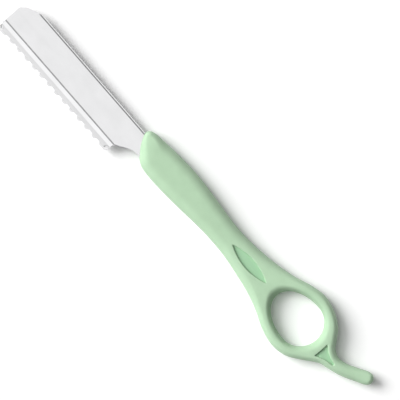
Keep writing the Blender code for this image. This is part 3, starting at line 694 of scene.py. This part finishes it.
def comb_tree():
    """Tree that repeats the tooth pattern between two ends."""
    tree = bpy.data.node_groups.new("comb_of_teeth", "GeometryNodeTree")
    tree.interface.new_socket("Geometry", in_out="OUTPUT", socket_type="NodeSocketGeometry")
    for name, kind in (("Tooth", "Object"), ("Tip End", "Object"), ("Heel End", "Object"), ("Teeth", "Int"),
                       ("Pitch", "Float"), ("Start", "Float"), ("Length", "Float"), ("Steel", "Material")):
        tree.interface.new_socket(name, in_out="INPUT", socket_type="NodeSocket" + kind)
    given = add_node(tree, "NodeGroupInput").outputs
    tooth = add_node(tree, "GeometryNodeObjectInfo", {"Object": given["Tooth"]})
    values = {name: given[name] for name in ("Pitch", "Teeth", "Start", "Length")}
    for result, operation, first, second in COMB_SUMS:
        sum_node = add_node(tree, "ShaderNodeMath", {0: values[first], 1: values.get(second, second)},
                            operation=operation)
        values[result] = sum_node.outputs[0]
    places = {name: add_node(tree, "ShaderNodeCombineXYZ", {"X": values[name]}).outputs[0]
              for name in ("First", "Pitch", "Start", "End")}
    line = add_node(tree, "GeometryNodeMeshLine", {"Count": given["Teeth"], "Start Location": places["First"],
                                                   "Offset": places["Pitch"]})
    teeth = add_node(tree, "GeometryNodeInstanceOnPoints", {"Points": line.outputs["Mesh"],
                                                            "Instance": tooth.outputs["Geometry"]})
    join = add_node(tree, "GeometryNodeJoinGeometry", {"Geometry": teeth.outputs["Instances"]})
    for name, place in (("Tip End", "Start"), ("Heel End", "End")):
        block = add_node(tree, "GeometryNodeObjectInfo", {"Object": given[name]})
        moved = add_node(tree, "GeometryNodeTransform", {"Geometry": block.outputs["Geometry"],
                                                         "Translation": places[place]})
        tree.links.new(moved.outputs["Geometry"], join.inputs["Geometry"])
    comb_faces = join.outputs["Geometry"]
    for kind, settings in (("GeometryNodeRealizeInstances", {}),
                           ("GeometryNodeMergeByDistance", {"Distance": SEAM_GAP}),
                           ("GeometryNodeSetMaterial", {"Material": given["Steel"]})):
        step = add_node(tree, kind, {"Geometry": comb_faces, **settings})
        comb_faces = step.outputs["Geometry"]
    add_node(tree, "NodeGroupOutput", {"Geometry": comb_faces})
    return tree


comb = comb_tree()
print("the comb's tree has", len(comb.nodes), "nodes")

# %% [markdown]
# ## Build the comb guard
#
# The tree's inputs are set by their identifiers, before the object is evaluated for the first time. The
# result is still a surface without thickness. It is turned into a plain mesh, and the same two modifiers
# as on the head give it its sheet and its broken edges.

# %% Run the tree and thicken the strip
comb_inputs = {"Tooth": tooth_pattern, "Tip End": tip_end_pattern, "Heel End": heel_end_pattern,
               "Teeth": INNER_TEETH, "Pitch": TOOTH_PITCH, "Start": TOOL_ORIGIN.x, "Length": GUARD_LENGTH,
               "Steel": GUARD_STEEL}
guard = new_object("comb_guard_strip", bmesh.new())
nodes = guard.modifiers.new("comb_of_teeth", "NODES")
nodes.node_group = comb
for socket in comb.interface.items_tree:
    if socket.in_out == "INPUT":
        nodes[socket.identifier] = comb_inputs[socket.name]
settle(guard, tooth_pattern, tip_end_pattern, heel_end_pattern)
surface = bmesh.new()
surface.from_mesh(guard.data)
bmesh.ops.recalc_face_normals(surface, faces=surface.faces)
surface.to_mesh(guard.data)
surface.free()
guard.data.shade_smooth()
thicken(guard, GUARD_SHEET, GUARD_EDGE_BREAK, segments=3)
settle(guard)

# %% [markdown]
# ## Outline of the handle
#
# Seen from the side, the handle starts in a round nose round the head, swells to the grip, draws in to
# the waist and opens into the finger ring. From the ring a curved tail runs out, where the little finger
# rests.
#
# The outline is one smooth curve through knots. Each knot is written as a share of the handle's length
# and of the width of its zone, so a wider grip or ring would still be the same shape. The hole is an egg:
# a long half ellipse towards the head and a short one towards the tail.

# %% Draw the handle's outline
HANDLE_SETBACK = 4.9 * mm
HANDLE_START_X = GUARD_LENGTH + HANDLE_SETBACK
HANDLE_LENGTH = TOOL_LENGTH - HANDLE_START_X
GRIP_WIDTH = 16.25 * mm
WAIST_WIDTH = 12.2 * mm
TAIL_WIDTH = 5.8 * mm
RING_WALL = 5.35 * mm
RING_HOLE_WIDTH = RING_WIDTH - 2 * RING_WALL
RING_HOLE_FRONT = 15.7 * mm
RING_HOLE_BACK = 9.8 * mm
RING_MIDDLE_SHARE = 0.7277
RING_MIDDLE_X = HANDLE_START_X + RING_MIDDLE_SHARE * HANDLE_LENGTH

TAIL_END_STEPS = 4

GRIP_SPINE = ((0.0, 0.19), (0.004, 0.31), (0.0187, 0.382), (0.0638, 0.434), (0.113, 0.48), (0.1753, 0.508),
              (0.2377, 0.495))
WAIST_SPINE = ((0.307, 0.59), (0.3694, 0.533), (0.4248, 0.529))
RING_SPINE = ((0.4872, 0.2355), (0.5565, 0.2903), (0.6119, 0.358), (0.6674, 0.4548), (0.7193, 0.5),
              (0.7713, 0.4484), (0.8094, 0.3516), (0.8392, 0.2032), (0.8551, 0.121), (0.8787, 0.0823))
TAIL_LINE = ((0.9162, 0.0258), (0.9584, 0.1323), (0.98, 0.1887))
RING_TEETH = ((0.8787, -0.1339), (0.8565, -0.1645), (0.8392, -0.2177), (0.8094, -0.331), (0.7713, -0.4516),
              (0.7228, -0.5), (0.6674, -0.458), (0.6119, -0.3565), (0.5565, -0.2823), (0.4872, -0.2274))
WAIST_TEETH = ((0.4248, -0.4877), (0.3555, -0.4713), (0.2862, -0.5246))
GRIP_TEETH = ((0.2169, -0.4523), (0.1476, -0.4923), (0.0956, -0.4954), (0.0644, -0.4554), (0.0388, -0.32),
              (0.0166, -0.0985))


def knots_of(*zones):
    """Knots from zones of the outline: shares of the handle's length and of a width, with that width."""
    return [Vector((HANDLE_START_X + along * HANDLE_LENGTH, across * width))
            for shares, width in zones for along, across in shares]


def tail_knots():
    """Knots along the tail's spine side, round its end and back."""
    line = knots_of((TAIL_LINE, RING_WIDTH))
    half = TAIL_WIDTH / 2
    line[-1].x = TOOL_LENGTH - half
    upper, lower = [], []
    for index, point in enumerate(line):
        along = line[min(index + 1, len(line) - 1)] - line[max(index - 1, 0)]
        side = Vector((-along.y, along.x)).normalized() * half
        upper.append(point + side)
        lower.append(point - side)
    lean = math.degrees(math.atan2(along.y, along.x))
    return upper[:-1] + arc(line[-1], (half, half), lean + 90, lean - 90, TAIL_END_STEPS) + lower[-2::-1]


def handle_outline(steps):
    """The whole outline, clockwise from the nose over the spine side."""
    spine = knots_of((GRIP_SPINE, GRIP_WIDTH), (WAIST_SPINE, WAIST_WIDTH), (RING_SPINE, RING_WIDTH))
    teeth = knots_of((RING_TEETH, RING_WIDTH), (WAIST_TEETH, WAIST_WIDTH), (GRIP_TEETH, GRIP_WIDTH))
    return closed_curve(spine + tail_knots() + teeth, steps)


def ring_hole(steps):
    """The finger hole, anticlockwise."""
    half = RING_HOLE_WIDTH / 2
    back = arc((RING_MIDDLE_X, 0), (RING_HOLE_BACK, half), -90, 90, steps)
    front = arc((RING_MIDDLE_X, 0), (RING_HOLE_FRONT, half), 90, 270, steps)
    return back[:-1] + front[:-1]


OUTLINE_STEPS = 8
HOLE_STEPS = 60
OUTLINE = handle_outline(OUTLINE_STEPS)
HOLE = ring_hole(HOLE_STEPS)
print("handle outline has", len(OUTLINE), "points, its hole", len(HOLE))

# %% [markdown]
# ## Thickness and rounding of the handle
#
# The handle is thickest at the grip and thins towards the tail. Its edges are rounded all the way, more
# on the grip than on the ring, and most inside the ring's front, where the finger leans. Both change
# slowly along the tool, so each is a list of stations that a function eases between.
#
# The skin has two sets of roundings: that of its outside, so full that the grip is nearly oval and the
# tail round, and that of the harder core inside it, which is plainer.

# %% Thickness and rounding
THICKNESS_STATIONS = ((0, GRIP_THICKNESS * 0.84), (0.06, GRIP_THICKNESS), (0.25, GRIP_THICKNESS),
                      (0.42, 8.2 * mm), (0.8, 8.2 * mm), (1, 6 * mm))
SKIN_ROUNDS = ((0, 4.4 * mm), (0.06, 4.8 * mm), (0.25, 4.8 * mm), (0.5, 4.2 * mm), (1, 2.8 * mm))
CORE_ROUNDS = ((0, 1.9 * mm), (0.06, 3.2 * mm), (0.25, 3.2 * mm), (RING_MIDDLE_SHARE, 2.1 * mm),
               (1, 2.1 * mm))
SKIN_DISH = 6.0 * mm
CORE_DISH = 3.6 * mm
DISH_RIDGE = 1.5


def half_thickness(x):
    """Half the handle's thickness at a place along the tool."""
    return blend(THICKNESS_STATIONS, (x - HANDLE_START_X) / HANDLE_LENGTH) / 2


def rim_rounding(point, rounds):
    """How far the rounding reaches in from the outer edge."""
    return blend(rounds, (point.x - HANDLE_START_X) / HANDLE_LENGTH)


def hole_front(point):
    """How much a point of the finger hole belongs to its front, where the dish is: 0 to 1."""
    return max((RING_MIDDLE_X - point.x) / RING_HOLE_FRONT, 0) ** 3


def hole_rounding(point, rounds, dish):
    """How far the rounding reaches out from the finger hole."""
    side = rim_rounding(point, rounds)
    return side + (dish - side) * hole_front(point)


def skin_ridge(point):
    """Power of the height along the rounding: 1 is a part of an ellipse, and more falls faster to a ridge."""
    return 1 + (DISH_RIDGE - 1) * hole_front(point)


print("thickness %.1f mm at the grip, %.1f mm at the ring" % (
    GRIP_THICKNESS / mm, 2 * half_thickness(RING_MIDDLE_X) / mm))

# %% [markdown]
# ## The two recesses
#
# A pointed leaf in the waist and a wedge behind the ring are windows in the soft skin, with the hard core
# as their floor. The wedge has hollow sides and a blunt tip. A mould can't make a perfectly sharp corner,
# and soft plastic doesn't hold one, so the corners are rounded, and so is the rim, which catches the
# light on one side and shades the other.

# %% Outlines of the recesses
LEAF_LENGTH = 21.6 * mm
LEAF_WIDTH = 4.7 * mm
LEAF_MIDDLE_SHARE = 0.4945
LEAF_CORNER = 0.12 * mm
WEDGE_LENGTH = 8.3 * mm
WEDGE_WIDTH = 7.5 * mm
WEDGE_TIP_WIDTH = 0.95 * mm
WEDGE_START_SHARE = 0.8261
WEDGE_MIDDLE_SHARE = -0.0331
WEDGE_TIP_SHARE = -0.0371
WEDGE_HOLLOW = 0.85 * mm
WEDGE_HOLLOW_SHARES = (1.0, 0.0, 0.76, 0.26)
WEDGE_CORNERS = (0.25 * mm, 0.42 * mm, 0.42 * mm, 0.25 * mm)
LEAF_STEPS = 40
WEDGE_SIDE_STEPS = 24
CORNER_STEPS = 6


def rounded_loop(sides, radii):
    """Join sides that meet in corners into one loop; each radius rounds the corner where its side starts."""
    loop = []
    for index, side in enumerate(sides):
        following = sides[(index + 1) % len(sides)]
        radius = radii[(index + 1) % len(sides)]
        corner = following[0]
        back = (side[-3] - corner).normalized()
        ahead = (following[2] - corner).normalized()
        half = back.angle(ahead) / 2
        cut = radius / math.tan(half)
        cut_before = radii[index] / math.tan((sides[index - 1][-3] - side[0]).angle(side[2] - side[0]) / 2)
        loop += [point for point in side
                 if (point - corner).length > cut and (point - side[0]).length > cut_before]
        centre = corner + (back + ahead).normalized() * radius / math.sin(half)
        start = (corner + back * cut) - centre
        turn = start.angle_signed((corner + ahead * cut) - centre)
        angle = math.atan2(start.y, start.x)
        loop += arc(centre, (radius, radius), math.degrees(angle), math.degrees(angle - turn), CORNER_STEPS)
    return loop


def leaf_loop():
    """The leaf recess, clockwise."""
    middle_x = HANDLE_START_X + LEAF_MIDDLE_SHARE * HANDLE_LENGTH
    upper = [Vector((middle_x + along * LEAF_LENGTH / 2, (1 - along * along) * LEAF_WIDTH / 2))
             for along in evenly(-1, 1, LEAF_STEPS)]
    lower = [Vector((point.x, -point.y)) for point in upper[::-1]]
    return rounded_loop([upper, lower], (LEAF_CORNER, LEAF_CORNER))


def wedge_loop():
    """The wedge recess with hollow sides, clockwise."""
    start_x = HANDLE_START_X + WEDGE_START_SHARE * HANDLE_LENGTH
    middle_y, tip_y = WEDGE_MIDDLE_SHARE * RING_WIDTH, WEDGE_TIP_SHARE * RING_WIDTH
    corners = (Vector((start_x, middle_y + WEDGE_WIDTH / 2)),
               Vector((start_x + WEDGE_LENGTH, tip_y + WEDGE_TIP_WIDTH / 2)),
               Vector((start_x + WEDGE_LENGTH, tip_y - WEDGE_TIP_WIDTH / 2)),
               Vector((start_x, middle_y - WEDGE_WIDTH / 2)))
    centre = Vector((start_x + WEDGE_LENGTH / 3, middle_y))
    sides = []
    for corner, following, share in zip(corners, corners[1:] + corners[:1], WEDGE_HOLLOW_SHARES):
        pull = (centre - (corner + following) / 2).normalized() * WEDGE_HOLLOW * share * 4 / 3
        handles = [corner.lerp(following, part) + pull for part in (1 / 3, 2 / 3)]
        sides.append(bezier(corner, *handles, following, WEDGE_SIDE_STEPS))
    return rounded_loop(sides, WEDGE_CORNERS)


print("leaf", len(leaf_loop()), "points, wedge", len(wedge_loop()), "points")

# %% [markdown]
# ## The soft skin
#
# The skin is lofted: the outline is moved inwards ring by ring, while it rises along a quarter circle,
# until it reaches the flat side. A Bevel modifier on a flat prism is the usual way, but it can't change
# its width along the edge, as this handle does. Halfway up, a fine groove marks where the two halves of
# the mould met.
#
# The flat sides are filled with evenly spaced triangles by a constrained triangulation, which leaves the
# ring's hole and the recesses open. A second, smaller loft inside is the cavity that the core fills, and
# the walls of the recesses join the two, so the skin is one closed surface.

# %% Loft helpers
CAP_SPACING = 1.3 * mm
GROOVE_DEPTH = 0.05 * mm
HAIR_GAP = 0.02 * mm
CORE_DEPTH = box_high.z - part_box("handle_core")[1].z
RECESS_DEPTH = CORE_DEPTH - HAIR_GAP
RIM_RADIUS = 0.45 * mm
RIM_MARGIN = 0.12 * mm
ROOM_SHARE = 0.9
NEAR_EDGE = 1 * mm
LIMIT_SPREAD = 5
INSIDE_ONLY = 1
EDGE_ANGLES = tuple(range(-90, -8, 9)) + (-1.5, 0, 1.5) + tuple(range(9, 91, 9))
RIM_ANGLES = tuple(range(0, 91, 15))


def circle_limit(point, normal, edges):
    """Most of the radius of the largest circle that touches a point of an edge and holds no other edge."""
    limit = GRIP_THICKNESS
    for other in edges:
        away = other - point
        depth = -away.dot(normal)
        if depth > 0 and away.length > NEAR_EDGE:
            limit = min(limit, ROOM_SHARE * away.length_squared / (2 * depth))
    return limit


def room_limits(curve, facing, recesses):
    """How far each point can move in before it meets a bend, the facing edge or a recess."""
    limits = []
    for point, normal in zip(curve, normals_left(curve)):
        gaps = [min((point - other).length for other in loop) - RIM_RADIUS - RIM_MARGIN for loop in recesses]
        limits.append(min([circle_limit(point, normal, curve + facing)] + gaps))
    count = len(curve)
    near = range(-LIMIT_SPREAD, LIMIT_SPREAD + 1)
    least = [min(limits[(index + step) % count] for step in near) for index in range(count)]
    return [sum(least[(index + step) % count] for step in near) / len(near) for index in range(count)]


def loft_rings(form, curve, rounds, ridges, inset, groove):
    """Rings of a rounded edge, from the lower flat side to the upper."""
    rings = []
    normals = normals_left(curve)
    for angle in EDGE_ANGLES:
        turn = math.radians(angle)
        ring = []
        for point, normal, widest, ridge in zip(curve, normals, rounds, ridges):
            start = min(inset, widest * ROOM_SHARE)
            reach = start + (widest - start) * (1 - math.cos(turn)) + (groove if angle == 0 else 0)
            place = point - normal * reach
            rise = math.copysign(abs(math.sin(turn)) ** ridge, turn)
            height = (half_thickness(place.x) - inset) * rise
            ring.append(form.verts.new(in_model(place.x, place.y, height)))
        rings.append(ring)
    return bridge(form, rings)


def is_inside(point, loop):
    """Whether a point lies inside a closed loop."""
    inside = False
    for start, end in zip(loop, loop[1:] + loop[:1]):
        if (start.y > point.y) != (end.y > point.y):
            if point.x < start.x + (point.y - start.y) / (end.y - start.y) * (end.x - start.x):
                inside = not inside
    return inside


def free_points(loops):
    """Evenly staggered points inside the first loop, outside the others and clear of all of them."""
    edge_points = [point for loop in loops for point in loop]
    xs = [point.x for point in edge_points]
    ys = [point.y for point in edge_points]
    found = []
    for row in range(int((max(ys) - min(ys)) / CAP_SPACING) + 1):
        for column in range(int((max(xs) - min(xs)) / CAP_SPACING) + 1):
            point = Vector((min(xs) + (column + (row % 2) / 2) * CAP_SPACING,
                            min(ys) + row * CAP_SPACING))
            if is_inside(point, loops[0]) and not any(is_inside(point, loop) for loop in loops[1:]):
                if min((point - edge).length_squared for edge in edge_points) > (CAP_SPACING / 2) ** 2:
                    found.append(point)
    return found


def fill_side(form, rings, side, inset):
    """Fill one flat side of the handle between its outer ring and its holes."""
    loops = [[Vector((vert.co.x, vert.co.y)) for vert in ring] for ring in rings]
    verts = [vert for ring in rings for vert in ring]
    points = [point for loop in loops for point in loop]
    edges, first = [], 0
    for loop in loops:
        edges += [(first + index, first + (index + 1) % len(loop)) for index in range(len(loop))]
        first += len(loop)
    for point in free_points(loops):
        height = side * (half_thickness(point.x - TOOL_ORIGIN.x) - inset)
        points.append(point)
        verts.append(form.verts.new((point.x, point.y, TOOL_ORIGIN.z + height)))
    places, _, faces, sources = delaunay_2d_cdt(points, edges, [], INSIDE_ONLY, TINY)[:4]
    for face in faces:
        middle = sum((places[corner] for corner in face), Vector((0, 0))) / len(face)
        if not any(is_inside(middle, loop) for loop in loops[1:]):
            form.faces.new([verts[sources[corner][0]] for corner in face])


def window_walls(form, loop, side):
    """The rounded rim and the wall of a recess; gives its first and last ring."""
    rings = []
    steps = [(RIM_RADIUS * (1 - math.sin(turn)), RIM_RADIUS * (1 - math.cos(turn)))
             for turn in map(math.radians, RIM_ANGLES)]
    for reach, depth in steps + [(0, RECESS_DEPTH)]:
        places = [point + normal * reach for point, normal in zip(loop, normals_left(loop))]
        rings.append([form.verts.new(in_model(place.x, place.y, side * (half_thickness(place.x) - depth)))
                      for place in places])
    return bridge(form, rings)


print("loft helpers ready")

# %% [markdown]
# ## Build the skin
#
# The last step cuts the slot that the steel head runs into. It is a straight cut through skin and cavity,
# so a Boolean modifier does it, and its edge stays crisp as it does on a moulded seat.

# %% Loft, fill and cut the skin
SLOT_GAP = 0.08 * mm
CREASE = math.radians(42)

skin_form = bmesh.new()
windows = (leaf_loop(), wedge_loop())
outer_limits = room_limits(OUTLINE, HOLE, windows)
inner_limits = room_limits(HOLE, OUTLINE, windows)
layers = []
for inset, groove, rounds, dish in ((0, GROOVE_DEPTH, SKIN_ROUNDS, SKIN_DISH),
                                    (RECESS_DEPTH, 0, CORE_ROUNDS, CORE_DISH)):
    outer_rounds = [min(rim_rounding(point, rounds), limit) for point, limit in zip(OUTLINE, outer_limits)]
    inner_rounds = [min(hole_rounding(point, rounds, dish), limit)
                    for point, limit in zip(HOLE, inner_limits)]
    ridges = [skin_ridge(point) if inset == 0 else 1 for point in HOLE]
    layers.append((inset, loft_rings(skin_form, OUTLINE, outer_rounds, [1] * len(OUTLINE), inset, groove),
                   loft_rings(skin_form, HOLE, inner_rounds, ridges, inset, groove)))
for end, side in enumerate((-1, 1)):
    walls = [window_walls(skin_form, loop, side) for loop in windows]
    for layer, (inset, rim, hole) in enumerate(layers):
        fill_side(skin_form, [rim[end], hole[end]] + [wall[layer] for wall in walls], side, inset)
skin = new_object("soft_grip_skin", skin_form, SOFT_SKIN)

slot_form = bmesh.new()
slot_top, slot_bottom = SPINE_Y + SLOT_GAP, TAIL_BOTTOM_Y - SLOT_GAP
slot = [Vector((GUARD_LENGTH, slot_bottom)), Vector((GUARD_LENGTH, slot_top)),
        Vector((SHELL_TAIL_X + SLOT_GAP, slot_top)), Vector((SHELL_TAIL_X + SLOT_GAP, slot_bottom))]
slot_half = CHEEK_HALF_DEPTH + SHEET / 2 + CHEEK_BULGE + SLOT_GAP
prism(slot_form, slot, -slot_half, slot_half)
slot_cutter = new_object("head_slot", slot_form)
add_modifier(skin, "BOOLEAN", operation="DIFFERENCE", solver="EXACT", object=slot_cutter)
settle(skin, slot_cutter)
skin.data.set_sharp_from_angle(angle=CREASE)

# %% [markdown]
# ## Pieces that keep the working model's shape
#
# The blade, the bar between the cheeks, its rivets and the handle's core are already exact in the working
# model, so they stay and only get their finish.

# %% Finish the carried-over pieces
for name, material in (("razor_blade", BLADE_STEEL), ("spine_tang", BAR_STEEL),
                       ("front_tang_rivet", BAR_STEEL), ("rear_tang_rivet", BAR_STEEL),
                       ("handle_core", HARD_CORE)):
    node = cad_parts[name]
    for place in node.material_slots:
        place.material = material
    print(name, "is finished in", material.name)

# %% [markdown]
# ## Who moves with whom
#
# A dressed piece rides on a body of the working model, so it follows when the guard or the blade slides
# off, and it stands for the plain piece there.

# %% Tie the pieces to the model
for piece, body, node, slot_name in ((shell, "handle", "head_shell", "polished_steel"),
                                     (guard, "guard", "comb_guard", "guard_steel"),
                                     (skin, "handle", "soft_grip", "soft_touch_skin")):
    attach(piece, body)
    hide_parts(node)
    print(piece.name, "rides on", body)

# %% [markdown]
# ## Light
#
# The tool is seen under one very large softbox above and to the left, in a dim room. Polished steel shows
# its surroundings, so they matter more than any lamp. A softbox that fades out all round lights the
# steel's face evenly. The bends that mirror the upper room on the far side stay dark.
#
# The world's brightness is a function of direction alone: it eases between the room and the softbox with
# the cosine of the angle to the softbox's middle. Pale paper stands behind the table all round and fades
# upwards. The eye and the steel see all this at full strength. Only a share of it lights the matt
# surfaces, because most of their light and their soft shadow come from two wide suns on its lower and
# upper side. Both are left out of reflections, where they would show as round discs.

# %% Softbox world and suns
ROOM_LIGHT = 0.14
SOFTBOX_LIGHT = 1.1
SOFTBOX_FULL = math.radians(25)
SOFTBOX_REACH = math.radians(68)
MATT_SHARE = 0.26
PAPER_LIGHT = 0.85
PAPER_TOP = math.radians(9)
PAPER_FADE = math.radians(32)
SUNS = (("lower_sun", 204, 36, 3.1, 42), ("upper_sun", 200, 60, 1.0, 42))


def towards(azimuth, elevation):
    """Unit vector to a place in the room, angles in degrees."""
    round_z, up = math.radians(azimuth), math.radians(elevation)
    return Vector((math.cos(round_z) * math.cos(up), math.sin(round_z) * math.cos(up), math.sin(up)))


SOFTBOX_TO = towards(215, 65)


def seen_directly(tree):
    """1 for what the eye and the polished steel see, 0 for the light on matt surfaces."""
    ray = add_node(tree, "ShaderNodeLightPath").outputs
    return add_node(tree, "ShaderNodeMath", {0: ray["Is Camera Ray"], 1: ray["Is Glossy Ray"]},
                    operation="MAXIMUM").outputs[0]


def softbox_world():
    """A dim room with one large softbox above, and pale paper standing round the table."""
    world = bpy.data.worlds.new("softbox_world")
    world.use_nodes = True
    tree = world.node_tree
    background = tree.nodes["Background"]
    direction = add_node(tree, "ShaderNodeTexCoord").outputs["Generated"]
    facing = add_node(tree, "ShaderNodeVectorMath", {0: direction, 1: SOFTBOX_TO},
                      operation="DOT_PRODUCT")
    lit = add_node(tree, "ShaderNodeMapRange", {"Value": facing.outputs["Value"],
                                                "From Min": math.cos(SOFTBOX_REACH),
                                                "From Max": math.cos(SOFTBOX_FULL), "To Min": ROOM_LIGHT,
                                                "To Max": SOFTBOX_LIGHT}, interpolation_type="SMOOTHSTEP")
    height = add_node(tree, "ShaderNodeSeparateXYZ", {0: direction})
    paper = add_node(tree, "ShaderNodeMapRange", {"Value": height.outputs["Z"],
                                                  "From Min": math.sin(PAPER_TOP),
                                                  "From Max": math.sin(PAPER_FADE), "To Min": PAPER_LIGHT,
                                                  "To Max": 0.0}, interpolation_type="SMOOTHSTEP")
    room = add_node(tree, "ShaderNodeMath", {0: lit.outputs["Result"], 1: paper.outputs["Result"]},
                    operation="MAXIMUM")
    share = add_node(tree, "ShaderNodeMath", {0: seen_directly(tree), 1: 1 - MATT_SHARE, 2: MATT_SHARE},
                     operation="MULTIPLY_ADD")
    strength = add_node(tree, "ShaderNodeMath", {0: room.outputs[0], 1: share.outputs[0]},
                        operation="MULTIPLY")
    tree.links.new(strength.outputs[0], background.inputs["Strength"])
    background.inputs["Color"].default_value = colour("ffffff")
    return world


def add_sun(name, azimuth, elevation, energy, width):
    """A wide sun that only lights matt surfaces."""
    data = bpy.data.lights.new(name, "SUN")
    data.energy = energy
    data.angle = math.radians(width)
    sun = bpy.data.objects.new(name, data)
    sun.rotation_mode = "QUATERNION"
    sun.rotation_quaternion = towards(azimuth, elevation).to_track_quat("Z", "Y")
    sun.visible_glossy = False
    bpy.context.scene.collection.objects.link(sun)


bpy.context.scene.world = softbox_world()
for sun_values in SUNS:
    add_sun(*sun_values)
print("softbox towards", [round(part, 2) for part in SOFTBOX_TO])

# %% [markdown]
# ## Table
#
# The tool lies on a plain white table. The table's own colour makes it white, with a small lift that only
# the eye and the steel see, so that the picture's background is even while the shadow stays.

# %% Table top
TABLE_HALF = 2.0
TABLE_LIFT = 0.07

table_form = bmesh.new()
corners = [table_form.verts.new((x * TABLE_HALF, y * TABLE_HALF, box_low.z))
           for x, y in ((-1, -1), (1, -1), (1, 1), (-1, 1))]
table_form.faces.new(corners)
table_material, table_tree, table_shader = new_material("white_table")
lift = add_node(table_tree, "ShaderNodeMath", {0: seen_directly(table_tree), 1: TABLE_LIFT},
                operation="MULTIPLY")
for socket_name, value in (("Base Color", colour("fcfcfc")), ("Roughness", 1.0), ("Specular IOR Level", 0.0),
                           ("Emission Color", colour("ffffff"))):
    table_shader.inputs[socket_name].default_value = value
table_tree.links.new(lift.outputs[0], table_shader.inputs["Emission Strength"])
table = new_object("table_top", table_form, table_material)
table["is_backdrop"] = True
print("table is", 2 * TABLE_HALF, "m wide")

# %% [markdown]
# ## Camera
#
# The picture is taken from straight above, with the tool turned so that its head points to the upper
# left. A long lens far away keeps both ends of the tool in scale.

# %% Camera above the tool
CAMERA_HEIGHT = 1.2
CAMERA_REACH = 10
CAMERA_TURN = math.radians(49)
PICTURE_WIDTH = 171.1 * mm
PICTURE_CENTRE = Vector((2.7 * mm, 2.0 * mm))

camera_data = bpy.data.cameras.new("camera")
camera_data.lens = camera_data.sensor_width * CAMERA_HEIGHT / PICTURE_WIDTH
camera_data.clip_end = CAMERA_REACH
camera = bpy.data.objects.new("camera", camera_data)
camera.location = (PICTURE_CENTRE.x, PICTURE_CENTRE.y, TOOL_ORIGIN.z + CAMERA_HEIGHT)
camera.rotation_euler = (0, 0, CAMERA_TURN)
bpy.context.scene.collection.objects.link(camera)
bpy.context.scene.camera = camera
bpy.context.scene.view_settings.view_transform = "Standard"
print("lens %.0f mm" % camera_data.lens)

# %% [markdown]
# ## The two boxes
#
# The dressed tool has to stay inside the working model's box. The sizes of both boxes are printed.

# %% Print both boxes
VISUAL_BOX = [list(corner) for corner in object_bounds()]
for label, box in (("working model", CAD_BOX), ("dressed model", VISUAL_BOX)):
    print(label, [round((high - low) / mm, 3) for low, high in zip(*box)], "mm")
